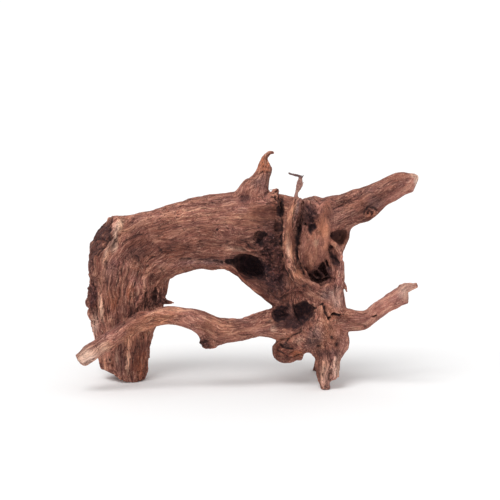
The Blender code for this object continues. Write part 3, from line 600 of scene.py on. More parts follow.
TINTS = {
    # dim darkens: partly painted shade in recesses, the niche and under limbs, partly darker wood.
    "dim": [
        (314, 364, 3, 9, 0, 1), (272, 229, 10, 7, 0, 0.7), (243, 248, 12, 5, 8, 0.8),
        (250, 232, 6, 12, 0, 0.5), (170, 261, 12, 3, 0, 0.6), (178, 233, 16, 4, 0, 0.5),
        (131, 231, 8, 5, -30, 0.6), (129, 262, 5, 5, 0, 0.6), (98, 272, 3, 12, 0, 0.6),
        (97, 313, 6, 4, 0, 0.8), (287, 278, 4, 4, 0, 0.8), (308, 288, 10, 3, 12, 0.6),
        (271, 297, 7, 5, 40, 0.8), (317, 356, 4, 6, 0, 1), (285, 349, 6, 7, 0, 0.8),
        (355, 323, 7, 4, 0, 0.6), (362, 196, 5, 8, 20, 0.5), (283, 216, 3, 6, 0, 0.8),
        (288, 354, 8, 7, 0, 1), (314, 342, 8, 5, 0, 0.8), (320, 361, 4, 7, 0, 0.7),
        (293, 296, 8, 5, 0, 0.6), (268, 297, 8, 6, 40, 0.7), (239, 241, 9, 4, 0, 0.6),
        (139, 311, 6, 6, 0, 0.8), (110, 283, 7, 5, 0, 0.5), (344, 240, 6, 7, 0, 0.6),
        (101, 254, 4, 6, 0, 0.7), (133, 328, 6, 4, 0, 0.6), (101, 231, 9, 9, 0, 1),
        (307, 217, 6, 7, 0, 0.5), (294, 281, 6, 5, 20, 0.7), (105, 236, 14, 10, 0, 1),
        (95, 248, 7, 14, 0, 0.9), (155, 228, 22, 9, 0, 0.6), (207, 245, 18, 7, 0, 0.6),
        (252, 250, 15, 5, 12, 0.8), (290, 233, 3.5, 12, 0, 0.7), (303, 288, 12, 7, 0, 0.9),
        (256, 283, 12, 6, 42, 0.6), (298, 267, 4, 8, -20, 0.6), (287, 277, 5, 6, 0, 0.7),
        (120, 322, 13, 6, -35, 0.9), (140, 356, 5, 18, 0, 0.8), (115, 300, 14, 14, 0, 0.45),
        (336, 343, 6, 8, 0, 0.8), (325, 331, 10, 8, 0, 0.5), (368, 219, 12, 4, -10, 0.8),
        (386, 195, 20, 4, -25, 0.8), (406, 187, 10, 3, -10, 0.6), (328, 213, 6, 8, 0, 0.6),
        (205, 204, 34, 3.5, -12, 0.5), (172, 308, 9, 2.5, 0, 0.6), (143, 324, 8, 4, 0, 0.5),
        (365, 316, 8, 6, 0, 0.5), (140, 247, 16, 18, 10, 1), (175, 248, 26, 9, 0, 0.9),
        (205, 231, 16, 8, 0, 0.6), (264, 216, 20, 10, -8, 0.9), (246, 242, 20, 7, 8, 0.8),
        (277, 234, 8, 20, 0, 0.9), (293, 236, 2.2, 13, 0, 0.8), (293, 296, 7, 4, 0, 0.8),
        (206, 256, 16, 3, 4, 0.8), (158, 237, 18, 4, 0, 0.5), (242, 224, 12, 3, 0, 0.7),
        (238, 241, 7, 4, 0, 0.7), (345, 202, 12, 4, -10, 0.7), (318, 255, 4, 8, 0, 0.6),
        (311, 313, 5, 7, 0, 0.5), (110, 222, 4, 5, 0, 0.6), (132, 228, 4, 8, 0, 0.5),
        (134, 255, 8, 9, 0, 0.5), (157, 280, 8, 5, 0, 0.6), (143, 344, 7, 5, 0, 0.7),
        (120, 369, 10, 4, 0, 0.7), (163, 317, 18, 3, -4, 0.5), (308, 289, 10, 4, 0, 0.5),
        (322, 278, 15, 6, -15, 0.3), (338, 238, 11, 8, 30, 0.45), (332, 258, 6, 12, -20, 0.6),
        (290, 300, 24, 6, 0, 0.4), (240, 277, 14, 6, 42, 0.9), (268, 296, 14, 8, 42, 1),
        (286, 306, 8, 12, 0, 0.9), (293, 322, 18, 9, 0, 0.9), (285, 348, 11, 8, 0, 1),
        (327, 353, 15, 5, 0, 1), (317.5, 371, 2.5, 9, 0, 0.8), (281, 351, 9, 9, 0, 0.9),
        (264, 218, 14, 9, -8, 0.8), (316, 339, 5, 10, 0, 0.3), (204, 343, 8, 5, 20, 1),
        (207, 328, 7, 7, 0, 0.6), (120, 353, 9, 16, 0, 0.7), (138, 345, 6, 11, 0, 0.7),
        (132, 312, 9, 9, 0, 0.7), (166, 301, 9, 7, 0, 0.9), (125, 275, 6, 12, 20, 0.5),
        (365, 208, 9, 8, -20, 0.9), (344, 318, 10, 4, 0, 0.8), (305, 274, 5, 9, -20, 0.8),
        (245, 195, 8, 5, 0, 0.6), (314, 228, 5, 4, 0, 0.5), (278, 317, 10, 5, 0, 0.7),
        (235, 325, 8, 4, 0, 0.4), (300, 300, 10, 6, 0, 0.5),
    ],
    # lit is painted light: it brightens edges, tops, undersides and ends that the lamp leaves too dark.
    "lit": [
        (340, 284, 6, 9, 0, 1), (321, 272, 7, 5, -20, 1), (306, 232, 5, 8, 0, 0.3),
        (333, 357, 5, 8, 0, 0.8), (329, 378, 5, 9, 0, 0.8), (188, 321, 12, 8, 10, 0.6),
        (118, 337, 10, 6, -30, 0.5), (134, 280, 4, 8, 0, 0.6), (113, 268, 7, 8, 0, 0.4),
        (245, 319, 12, 4, -8, 0.6), (392, 195, 10, 5, -25, 0.7), (316, 206, 8, 7, 0, 0.6),
        (88, 361, 8, 5, -30, 0.9), (284, 310, 12, 7, 0, 0.4), (342, 264, 4, 16, 0, 1),
        (341, 295, 5, 16, 0, 0.8), (390, 307, 20, 7, -34, 0.8), (264, 190, 5, 8, 0, 1),
        (88, 361, 10, 4, -30, 0.8), (341, 335, 5, 6, 0, 0.6), (200, 317, 8, 5, 0, 0.7),
        (308, 281, 9, 2.6, 24, 0.8), (288.5, 258, 3.5, 15, -4, 1), (338, 298, 7, 14, 0, 1),
        (240, 209, 9, 4, 0, 0.7), (195, 331, 10, 3, 20, 0.9), (413, 184, 7, 10, 0, 1),
        (90, 360, 9, 4, -30, 1), (265, 200, 8, 5, 0, 0.8), (274, 195, 6, 8, 0, 0.35),
        (318, 209, 4, 8, 0, 0.8), (303, 240, 2.5, 16, 0, 0.8), (246, 188, 10, 3, -20, 0.6),
        (333, 372, 5, 10, 0, 0.8), (326, 383, 5, 6, 0, 0.6), (336, 355, 6, 4, 0, 0.6),
        (318, 325, 5, 10, 0, 0.6), (127, 265, 4, 3, 0, 0.4), (116, 262, 8, 4, 0, 0.5),
        (264, 191, 4, 9, 0, 1), (277, 200, 4, 6, 0, 0.6), (114, 232, 4, 16, 8, 1),
        (94, 331, 4, 12, 0, 0.8), (194, 316, 12, 4, 10, 0.6), (120, 343, 4, 5, 0, 0.6),
        (108, 355, 9, 4, -30, 0.4), (88, 359, 9, 4, -30, 0.6), (410, 286, 6, 6, 0, 0.6),
        (378, 314, 9, 4, -25, 0.6), (341, 262, 4, 14, 0, 0.9), (302, 232, 2.5, 12, 0, 0.8),
        (331, 358, 2.5, 5, 0, 0.5), (330, 274, 6, 6, 0, 0.5), (385, 303, 34, 12, -32, 0.9),
        (172, 311, 34, 4, -3, 0.9), (112, 334, 18, 6, -30, 0.6), (86, 356, 16, 9, -30, 0.4),
        (345, 345, 5, 18, 0, 0.9), (405, 188, 16, 9, -25, 0.7), (337, 295, 7, 12, 0, 0.8),
        (200, 207, 70, 6, -12, 0.5), (260, 190, 6, 8, 0, 0.6), (190, 264, 34, 3.5, 0, 0.6),
        (318, 330, 5, 12, 0, 0.5), (262, 333, 10, 5, 0, 0.5), (140, 284, 12, 5, -30, 0.4),
        (97, 325, 5, 12, 0, 0.6),
    ],
    "smooth": [
        (311, 245, 14, 28, 0, 0.75), (324, 230, 6, 22, 0, 1), (289, 240, 7, 46, 0, 0.8),
        (262, 216, 22, 9, -5, 0.8), (250, 283, 30, 5, 40, 0.7), (386, 304, 44, 13, -32, 0.75),
        (340, 238, 9, 8, 0, 0.8), (170, 322, 60, 14, -8, 0.6), (230, 330, 40, 12, 5, 0.4),
        (385, 195, 40, 16, -25, 0.6), (262, 180, 10, 18, 20, 0.4), (190, 235, 50, 26, -5, 0.2),
        (344, 348, 8, 16, 0, 0.4), (300, 276, 14, 7, 30, 0.7), (235, 215, 40, 14, -10, 0.4),
    ],
    "ridged": [
        (125, 300, 42, 50, 0, 1), (130, 360, 36, 30, 0, 1), (150, 262, 22, 22, 0, 0.6),
        (325, 370, 20, 24, 0, 0.8), (355, 205, 22, 14, -25, 0.6), (115, 240, 20, 22, 0, 0.7),
        (86, 350, 30, 20, -30, 0.3),
    ],
    "rough": [
        (273, 262, 15, 42, -8, 1), (268, 240, 12, 14, 0, 0.9), (91, 293, 7, 17, -4, 0.9),
        (90, 262, 4, 14, 0, 0.7), (309, 216, 9, 13, 0, 0.9), (204, 344, 7, 4, 30, 0.9),
        (156, 300, 12, 9, 0, 0.7), (322, 276, 16, 9, -20, 0.5), (338, 262, 6, 16, 0, 0.4),
        (292, 318, 20, 13, 0, 0.5),
    ],
    "tan": [
        (290, 222, 6, 24, 8, 1), (288, 252, 6, 22, -8, 1), (300, 276, 13, 6, 30, 1),
        (324, 230, 5.5, 20, 0, 1), (310, 246, 10, 22, 0, 0.55), (155, 320, 52, 9, -28, 0.8),
        (210, 325, 34, 11, 12, 0.5), (120, 229, 10, 12, 0, 0.3), (250, 215, 26, 9, -8, 0.45),
        (187, 215, 40, 8, -12, 0.35), (325, 330, 12, 18, 0, 0.35), (200, 270, 30, 5, -4, 0.4),
    ],
    "orange": [
        (265, 164, 7, 8, 0, 0.8), (276, 196, 7, 9, 0, 0.35), (297, 354, 7, 4, -12, 1),
        (371, 215, 5, 5, 0, 0.4), (113, 300, 5, 10, 0, 0.6), (131, 292, 4, 8, 0, 0.6),
        (140, 365, 7, 14, 0, 0.6),
    ],
    "pale": [
        (86, 357, 12, 9, -30, 0.9), (99, 350, 12, 5, -30, 0.4), (324.5, 374, 6, 14, 0, 0.4),
        (336, 368, 5, 11, 0, 0.5), (337, 299, 5, 11, 0, 0.35), (114, 240, 3.5, 13, 5, 0.8),
        (95, 322, 3, 12, 0, 0.5), (406, 290, 9, 10, 0, 0.4), (274, 195, 5, 7, 0, 0.12),
        (417.5, 182, 2.8, 10, 0, 1), (413, 174, 4, 3, 30, 0.5), (101.5, 309, 2, 13, -8, 0.7),
        (128, 363, 1.8, 11, 0, 0.7), (116.3, 357, 1.5, 5, 0, 0.7), (119, 226, 4, 8, 20, 0.6),
        (107, 251, 3, 14, 14, 0.45), (316, 243, 3, 3, 0, 0.4), (331, 293, 2.2, 1.4, 0, 0.8),
        (274, 329, 3, 4, 0, 0.5), (299, 298, 1.2, 1.2, 0, 0.7), (299, 340, 6, 3, 0, 0.25),
        (237, 249, 10, 2.2, 8, 0.5), (288, 246, 2, 14, -2, 0.3),
    ],
    "red": [
        (190, 236, 62, 34, -5, 0.13), (125, 300, 38, 60, 0, 0.1), (99, 229, 12, 12, 0, 1),
        (96, 258, 7, 18, 0, 0.7), (281, 353, 9, 8, 0, 0.9), (250, 286, 30, 5, 41, 0.8),
        (205, 347, 8, 3, 10, 0.8), (293, 295, 12, 10, 0, 0.5), (390, 178, 22, 6, -20, 0.3),
        (275, 311, 12, 3, -10, 0.4),
    ],
    "grey": [
        (285, 345, 5, 4, 0, 1), (313, 338, 6, 11, 20, 0.9), (327, 295, 6, 7, 0, 0.9),
        (262, 180, 12, 7, -20, 0.7), (120, 362, 6, 12, 0, 0.7), (374, 204, 9, 7, -30, 0.8),
        (316, 338, 7, 12, 20, 0.8), (327, 353, 14, 4, 0, 0.7), (110, 275, 8, 14, 10, 0.3),
        (303, 198, 10, 5, 0, 0.5), (308, 212, 9, 9, 0, 0.5), (296.8, 214, 1.8, 20, 6, 1),
        (337, 213, 8, 10, 0, 0.3), (136, 254, 10, 9, 0, 0.45), (335, 356, 8, 5, 0, 0.6),
        (370, 190, 20, 4, -22, 0.4), (210, 262, 34, 3.5, 2, 0.6),
    ],
}

# The back, in the same steps as seen through the wood from the front. No photo shows it, so its
# knots, cracks, pits and weathered zones are made up in the manner of the front's.
BACK_KNOTS = [
    (198, 226, 10), (300, 262, 11), (118, 300, 9), (322, 226, 8), (252, 214, 7),
]
BACK_CRACKS = [
    ([(252, 236), (232, 231), (214, 233), (196, 236), (176, 232)], 2.2, -2.6),
    ([(228, 213), (206, 212), (184, 215), (160, 222)], 1.4, -1.8),
    ([(236, 252), (214, 250), (190, 252), (168, 256)], 1.3, -1.6),
    ([(152, 232), (136, 240), (126, 256), (122, 276)], 1.8, -2.4),
    ([(108, 258), (104, 280), (106, 304), (104, 326)], 1.5, -2.0),
    ([(132, 284), (128, 308), (130, 334), (126, 356)], 1.7, -2.2),
    ([(116, 322), (114, 344), (117, 368)], 1.2, -1.5),
    ([(142, 310), (140, 330), (141, 350)], 1.2, -1.4),
    ([(286, 218), (290, 238), (286, 258), (290, 276)], 2.0, -2.6),
    ([(316, 240), (314, 262), (319, 286), (314, 306)], 2.2, -2.8),
    ([(332, 262), (334, 284), (331, 304)], 1.3, -1.6),
    ([(300, 288), (304, 308), (300, 326), (306, 342)], 1.5, -2.0),
    ([(322, 330), (325, 350), (324, 370)], 1.0, -1.2),
    ([(352, 212), (370, 204), (390, 194)], 1.3, -1.5),
    ([(362, 222), (376, 212), (388, 205)], 1.1, -1.2),
    ([(366, 318), (384, 306), (398, 294)], 1.0, -1.0),
    ([(240, 322), (222, 328), (206, 326)], 1.1, -1.2),
    ([(262, 186), (258, 200), (262, 214)], 1.2, -1.4),
]
BACK_PITS = [
    (198, 226, 3.2, 2.6, 0, -3.0), (300, 262, 3.6, 4.2, 0, -3.4), (118, 300, 2.6, 3.4, 0, -2.6),
    (322, 226, 2.6, 2.2, 0, -2.2), (252, 214, 2.2, 2.0, 0, -2.0), (164, 244, 1.6, 1.4, 0, -1.4),
    (136, 322, 1.6, 1.8, 0, -1.4), (326, 312, 2.0, 2.4, 0, -1.8), (284, 300, 2.2, 2.0, 0, -1.6),
]
BACK_TINTS = {
    # On the back too, dim is partly painted shade and lit is painted light.
    "dim": [
        (214, 238, 34, 6, 0, 0.7), (198, 226, 8, 7, 0, 0.7), (128, 262, 12, 22, 10, 0.6),
        (104, 300, 6, 26, 0, 0.6), (130, 350, 12, 14, 0, 0.5), (290, 248, 8, 26, 0, 0.8),
        (300, 262, 9, 10, 0, 0.7), (316, 290, 9, 24, 0, 0.6), (274, 224, 7, 18, 0, 0.8),
        (334, 330, 10, 14, 0, 0.5), (366, 214, 16, 6, -25, 0.6), (258, 264, 16, 8, 35, 0.6),
        (118, 300, 8, 9, 0, 0.6), (300, 345, 18, 8, 0, 0.6),
    ],
    "lit": [
        (180, 212, 44, 6, -10, 0.7), (232, 222, 20, 5, 0, 0.5), (150, 262, 14, 10, -30, 0.5),
        (118, 336, 8, 22, 0, 0.6), (306, 226, 10, 16, 0, 0.6), (330, 250, 8, 22, 0, 0.5),
        (392, 190, 26, 6, -25, 0.7), (384, 304, 26, 6, -32, 0.6), (326, 362, 6, 18, 0, 0.6),
        (288, 322, 12, 8, 0, 0.5),
    ],
    "grey": [
        (160, 240, 22, 10, -10, 0.6), (226, 206, 20, 5, -8, 0.5), (110, 276, 10, 20, 0, 0.5),
        (322, 244, 10, 18, 0, 0.5), (300, 310, 14, 12, 0, 0.6), (356, 206, 12, 8, -25, 0.5),
    ],
    "orange": [
        (206, 262, 24, 5, 0, 0.5), (140, 290, 7, 20, 0, 0.6), (320, 216, 9, 8, 0, 0.5),
        (288, 294, 8, 8, 0, 0.8), (344, 322, 10, 8, 0, 0.4),
    ],
    "red": [
        (246, 244, 16, 10, 20, 0.6), (96, 310, 8, 26, 0, 0.5), (296, 276, 12, 16, 0, 0.5),
        (330, 340, 8, 12, 0, 0.5),
    ],
    "pale": [
        (287, 296, 5, 5, 0, 0.6), (176, 224, 12, 2, -6, 0.6), (122, 352, 2, 14, 0, 0.6),
        (310, 250, 2, 14, 4, 0.5), (325, 366, 2, 10, 0, 0.5),
    ],
    "rough": [
        (92, 292, 8, 24, 0, 0.9), (268, 240, 7, 24, 5, 0.7), (304, 336, 14, 8, 0, 0.5),
    ],
    "ridged": [
        (126, 310, 40, 60, 0, 1), (300, 270, 34, 50, 0, 1), (200, 232, 60, 20, 0, 0.7),
    ],
}

right, down, back = seen(surface.places)
face = surface.normals()
towards = -(face @ np.array(SIGHT_LINE))
in_view = np.zeros(surface.count)
for index in np.nonzero(towards > -0.1)[0]:
    place = Vector(surface.places[index])
    sight = (viewer - place).normalized()
    if tree.ray_cast(place + sight * 5, sight)[0] is None:
        in_view[index] = 1
in_view = surface.smoothed(in_view, 2)
behind = np.clip(-2 * towards, 0, 1)
wander = [surface.noise(7, seed) for seed in (31, 32)]
strolled_right = right + 0.7 * wander[0]
strolled_down = down + 0.7 * wander[1]


def from_line(places):
    """How far, in mm, each point of the front lies from a line."""
    nearest = np.full(surface.count, 1e9)
    for (right_1, down_1), (right_2, down_2) in zip(places, places[1:]):
        run = np.array((right_2 - right_1, down_2 - down_1))
        offset = np.stack([strolled_right - right_1, strolled_down - down_1], axis=1)
        share = np.clip(offset @ run / (run @ run), 0, 1)
        nearest = np.minimum(nearest, np.linalg.norm(offset - share[:, None] * run, axis=1))
    return nearest * VIEW_STEP


def from_spot(spot):
    """How far out of a spot each point of the front lies: 0 in its middle and 1 on its rim."""
    middle_right, middle_down, half_width, half_height, turn = spot[:5]
    turn = math.radians(turn)
    across = strolled_right - middle_right
    below = strolled_down - middle_down
    return np.hypot(
        (across * math.cos(turn) + below * math.sin(turn)) / half_width,
        (below * math.cos(turn) - across * math.sin(turn)) / half_height,
    )


def both(front, back):
    """Each mark of the front and of the back, with how far it shows at each point."""
    return [(mark, in_view) for mark in front] + [(mark, behind) for mark in back]


way = grain.way / (np.linalg.norm(grain.way, axis=1)[:, None] + 1e-9)
for (knot_right, knot_down, radius), shown in both(KNOTS, BACK_KNOTS):
    aside = np.stack([right - knot_right, knot_down - down], axis=1) * VIEW_STEP
    gap = np.linalg.norm(aside, axis=1) + 1e-6
    pull = np.exp(-((gap / (1.5 * radius)) ** 2)) * shown
    turned = np.stack([-aside[:, 1], np.zeros_like(gap), aside[:, 0]], axis=1) / gap[:, None]
    sign = np.sign((turned * way).sum(axis=1))
    way = way * (1 - pull)[:, None] + turned * (pull * sign)[:, None]
way -= face * (way * face).sum(axis=1)[:, None]
way /= np.linalg.norm(way, axis=1)[:, None] + 1e-9

step_way = surface.places[surface.far] - surface.places[surface.near]
step_way /= np.linalg.norm(step_way, axis=1)[:, None] + 1e-9
alignment = np.abs((step_way * way[surface.near]).sum(axis=1))
DICE = np.random.default_rng(7)


def streaks(length, width, sharpness):
    """Noise drawn out along the fibres, with a spread of 1."""
    field = DICE.standard_normal(surface.count)
    field = surface.smoothed(field, width, 0.5)
    field = surface.smoothed(field, length, 0.85, np.exp(sharpness * (alignment**2 - 1)))
    return (field - field.mean()) / field.std()


flutes = streaks(60, 10, 7)
furrows = streaks(45, 3, 9)
fibres = streaks(16, 0, 10)

# How sheltered each point is: the share of the sky over it that other wood hides. It darkens the
# insides of the niche and the hollows as painted shade, with the dirt and damp that stay there.
SHELTER_STRIDE = 6
SHELTER_RAYS = 28
SHELTER_REACH = 45
spiral = []
for ray in range(SHELTER_RAYS):
    height = 1 - (ray + 0.5) / SHELTER_RAYS
    turn = ray * math.pi * (3 - math.sqrt(5))
    flat = math.sqrt(1 - height**2)
    spiral.append(Vector((math.cos(turn) * flat, math.sin(turn) * flat, height)))
sampled = np.arange(0, surface.count, SHELTER_STRIDE)
sample_tree = kdtree.KDTree(len(sampled))
shelter_at = np.zeros(len(sampled))
for number, index in enumerate(sampled):
    place = Vector(surface.places[index])
    outwards = Vector(face[index])
    turn = outwards.to_track_quat("Z", "X")
    for ray in spiral:
        if tree.ray_cast(place + outwards * 1.5, turn @ ray, SHELTER_REACH)[0] is not None:
            shelter_at[number] += 1 / SHELTER_RAYS
    sample_tree.insert(place, number)
sample_tree.balance()
sheltered = np.array([shelter_at[sample_tree.find(Vector(place))[1]] for place in surface.places])
sheltered = surface.smoothed(sheltered, 8)

tint = {name: np.zeros(surface.count) for name in TINTS}
for name, spots in TINTS.items():
    for spot, shown in both(spots, BACK_TINTS.get(name, [])):
        amount = np.clip(1.6 - 1.2 * from_spot(spot), 0, 1) * spot[5] * shown
        tint[name] = np.maximum(tint[name], amount)
    tint[name] = np.clip(tint[name] * (1 + 0.35 * surface.noise(5, 40 + len(name))), 0, 1)

# Painted shade in the hollows: the most sheltered places and the listed hollows are coloured near black.
hollow_shade = np.clip((sheltered - 0.65) / 0.4, 0, 0.5)
ragged = surface.noise(4.5, 51)
pushed = np.zeros(surface.count)
for spot in HOLLOWS:
    away = from_spot(spot) + 0.22 * ragged
    inside = np.clip(1.5 * (1.12 - away), 0, 1)
    inside = inside * inside * (3 - 2 * inside) * in_view
    pushed = np.maximum(pushed, spot[5] * inside)
    hollow_shade = np.maximum(hollow_shade, np.clip(3.6 - 3.2 * away, 0, 1) * in_view * spot[6])

relief = np.zeros(surface.count)
broken = np.clip(0.95 + 0.6 * surface.noise(4, 9), 0.5, 1.2)
# crack holds painted shade in cracks and pits: the deeper one lies, the darker it is painted.
crack = np.zeros(surface.count)
for (places, half_width, height), shown in both(CRACKS, BACK_CRACKS):
    share = np.exp(-((from_line(places) / half_width) ** 2)) * shown * broken
    relief += height * share
    crack = np.maximum(crack, share * min(1, -height / 2.2))
for places, half_width, height in RIDGES:
    relief += height * np.exp(-((from_line(places) / half_width) ** 2)) * in_view
for spot, shown in both(PITS, BACK_PITS):
    share = np.exp(-(from_spot(spot) ** 2)) * shown
    relief += spot[5] * share
    crack = np.maximum(crack, share * min(1, -spot[5] / 2))

plain = 1 - 0.8 * tint["smooth"]
slender = sum(np.clip(2 * grain.limb[name] - 0.6, 0, 1) for name in SLENDER)
raised = (0.6 * surface.noise(22, 1) + 0.45 * surface.noise(9, 2)) * plain
raised += 0.9 * behind * surface.noise(16, 11)
raised += (0.4 + 0.75 * tint["ridged"]) * plain * flutes
raised += (0.2 + 0.3 * tint["ridged"]) * plain * np.minimum(furrows, 1)
raised += 0.1 * plain * fibres
raised -= (0.25 + 0.3 * tint["ridged"]) * np.clip(-furrows - 1.3, 0, 1.6) * plain
granular = surface.noise(3.4, 5) + 0.8 * surface.noise(7, 6)
raised += tint["rough"] * (1.7 * granular - 0.7)
raised += tint["orange"] * 0.8 * surface.noise(3, 8)
raised += relief - 0.35 - 0.7 * np.minimum(slender, 1)
sight = np.array(SIGHT_LINE)
surface.places += face * raised[:, None] + sight * pushed[:, None]
surface.places[:, 2] = np.maximum(surface.places[:, 2], 0)
surface.store()

smooth_places = surface.smoothed(surface.places, 6)
cavity = ((smooth_places - surface.places) * surface.normals()).sum(axis=1)


def keep(name, values):
    """Stores a number or a triple of numbers at each point of the skin."""
    kind, field = ("FLOAT", "value") if values.ndim == 1 else ("FLOAT_VECTOR", "vector")
    stored = skin.data.attributes.new(name, kind, "POINT")
    stored.data.foreach_set(field, values.astype(np.float32).ravel())


grain.fibres[:, :, 0] += (2.4 * surface.noise(18, 61) + 0.6 * surface.noise(6, 62))[:, None]
grain.fibres[:, :, 1] += (2.4 * surface.noise(18, 63) + 0.6 * surface.noise(6, 64))[:, None]
for column, letter in enumerate(LETTERS):
    keep("fibres_" + letter, grain.fibres[:, column])
keep("share", grain.share)
keep("ridge", 0.5 * furrows + 0.5 * fibres)
keep("cavity", cavity)
keep("hollow_shade", hollow_shade)
keep("sheltered", sheltered)
keep("crack", crack)
for name, amount in tint.items():
    keep(name, amount)

skin.data.calc_loop_triangles()
thin = skin.modifiers.new("thin out", "DECIMATE")
thin.ratio = min(1, SKIN_TRIANGLES / len(skin.data.loop_triangles))
settle(skin)
skin.data.shade_smooth()
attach(skin, "root")
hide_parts("driftwood")


def colour(red, green, blue):
    """A colour given in 255ths, as a shader takes it."""
    parts = [part / 255 for part in (red, green, blue)]
    return (*[part / 12.92 if part <= 0.04 else ((part + 0.055) / 1.055) ** 2.4 for part in parts], 1)


class Ink:
    """A socket in a material's nodes. Sums, differences and products of it add Math nodes."""

    def __init__(self, socket):
        self.socket = socket

    def node(self, kind, settings=None, values=None, out=0):
        """Adds a node to the same material, with its settings first, and gives one of its outputs."""
        tree = self.socket.id_data
        made = tree.nodes.new(kind)
        for name, setting in (settings or {}).items():
            setattr(made, name, setting)
        for name, value in (values or {}).items():
            if isinstance(value, Ink):
                tree.links.new(value.socket, made.inputs[name])
            else:
                made.inputs[name].default_value = value
        return Ink(made.outputs[out])

    def maths(self, operation, first, second=0.0):
        return self.node("ShaderNodeMath", {"operation": operation}, {0: first, 1: second})

    def __add__(self, other):
        return self.maths("ADD", self, other)

    __radd__ = __add__

    def __sub__(self, other):
        return self.maths("SUBTRACT", self, other)

    def __rsub__(self, other):
        return self.maths("SUBTRACT", other, self)

    def __mul__(self, other):
        return self.maths("MULTIPLY", self, other)

    __rmul__ = __mul__

    def between(self, low, high):
        """0 where this is low or less, 1 where it is high or more, and soft in between."""
        settings = {"interpolation_type": "SMOOTHSTEP"}
        return self.node("ShaderNodeMapRange", settings, {"Value": self, "From Min": low, "From Max": high})

    def covered(self, other, share, blend="MIX"):
        """This colour with the other laid over it by the share."""
        settings = {"data_type": "RGBA", "blend_type": blend}
        return self.node("ShaderNodeMix", settings, {0: share, 6: self, 7: other}, 2)


material = bpy.data.materials.new("weathered_wood_skin")
material.use_nodes = True
shader = material.node_tree.nodes["Principled BSDF"]
start = Ink(shader.outputs[0])


def mark(name, out="Fac"):
    return start.node("ShaderNodeAttribute", {"attribute_name": name}, {}, out)


shares = start.node("ShaderNodeSeparateXYZ", {}, {0: mark("share", "Vector")}).socket.node.outputs
shares = [Ink(output) for output in shares]


def fibre(across, lengthwise, detail=2.0):
    """Fibres this wide and this long, in mm, from 0 to 1."""
    total = 0.0
    for letter, share in zip(LETTERS, shares):
        scaled = start.node(
            "ShaderNodeMapping",
            {"vector_type": "POINT"},
            {"Vector": mark("fibres_" + letter, "Vector"), "Scale": (1 / across, 1 / across, 1 / lengthwise)},
        )
        values = {"Vector": scaled, "Scale": 1.0, "Detail": detail, "Roughness": 0.6}
        total = share * start.node("ShaderNodeTexNoise", {}, values) + total
    return total


def speckle(size, detail=2.0):
    """Grains this wide, in mm, from 0 to 1."""
    place = start.node("ShaderNodeTexCoord", {}, {}, "Object")
    values = {"Vector": place, "Scale": 1 / (size * MM), "Detail": detail, "Roughness": 0.6}
    return start.node("ShaderNodeTexNoise", {}, values)


fine = fibre(0.9, 15, 1.0)
middling = fibre(2.0, 34, 1.0)
broad = fibre(6.5, 95)
splits = start.maths("ABSOLUTE", fibre(3.4, 42, 1.5) - 0.5)
patches = speckle(34)
clouds = speckle(11)
grains = speckle(1.3, 1.0)
crumbs = speckle(1.9, 1.0)
bite = 1 - mark("smooth") * 0.55

# Stains lie under the fibres' own colours. Tones weaken or strengthen all that lies below them.
STAINS = (
    ("orange", (194, 112, 74), 0.75),
    ("red", (118, 56, 44), 0.75),
    ("grey", (106, 84, 84), 0.75),
    ("pale", (234, 194, 168), 0.85),
)
# Of the tones, lit is painted light and dim is partly painted shade, partly darker wood; tan and rough are
# the wood's own.
TONES = (
    ("tan", (1.42, 1.47, 1.28)),
    ("lit", (1.38, 1.5, 1.66)),
    ("dim", (0.42, 0.34, 0.33)),
    ("rough", (0.28, 0.21, 0.25)),
)
wood = start.node("ShaderNodeRGB", {}, {}).covered(colour(150, 94, 80), 1.0)
wood = wood.covered(colour(110, 62, 56), patches.between(0.46, 0.64) * 0.45)
wood = wood.covered(colour(168, 104, 80), patches.between(0.5, 0.34) * 0.45)
wood = wood.covered(colour(114, 72, 66), clouds.between(0.5, 0.64) * 0.4)
wood = wood.covered(colour(176, 118, 98), clouds.between(0.48, 0.34) * 0.4)
for name, shade, share in STAINS:
    wood = wood.covered(colour(*shade), mark(name) * share)
wood = wood.covered(colour(92, 52, 45), broad.between(0.48, 0.34) * 0.6)
wood = wood.covered(colour(204, 146, 118), broad.between(0.53, 0.68) * 0.4)
for pattern, low, high, shade, share in (
    (middling, 0.47, 0.3, (80, 42, 36), 0.5),
    (middling, 0.55, 0.72, (216, 160, 134), 0.45),
    (fine, 0.45, 0.28, (66, 34, 30), 0.7),
    (fine, 0.56, 0.74, (226, 172, 146), 0.62),
    (mark("ridge"), -0.8, -2.4, (60, 32, 29), 0.5),
    (mark("ridge"), 0.5, 2.6, (214, 160, 134), 0.25),
):
    wood = wood.covered(colour(*shade), pattern.between(low, high) * bite * share)
wood = wood.covered(colour(48, 25, 24), splits.between(0.022, 0.004) * clouds.between(0.4, 0.55) * bite * 0.8)
wood = wood.covered(colour(54, 28, 26), grains.between(0.6, 0.72) * bite * 0.7)
wood = wood.covered(colour(224, 172, 150), grains.between(0.37, 0.27) * bite * 0.45)
for name, strength in TONES:
    wood = wood.covered((*strength, 1), mark(name), "MULTIPLY")
wood = wood.covered(colour(138, 98, 96), mark("rough") * crumbs.between(0.59, 0.69) * 0.65)
wood = wood.covered(colour(34, 20, 22), mark("rough") * crumbs.between(0.44, 0.34) * 0.7)
# Painted shade, with some dirt, in the skin's creases, and a painted highlight on its crests.
wood = wood.covered(colour(52, 29, 28), mark("cavity").between(0.12, 0.6) * 0.75)
wood = wood.covered((1.6, 1.6, 1.55, 1), mark("cavity").between(-0.1, -0.7) * 0.8, "MULTIPLY")
# Painted shade, with some dirt, where other wood hides the sky.
wood = wood.covered(colour(66, 38, 38), mark("sheltered").between(0.4, 0.95) * 0.65)
# Painted shade inside the hollows.
wood = wood.covered(colour(42, 27, 35), mark("hollow_shade") * (crumbs.between(0.7, 0.35) * 0.3 + 0.64))
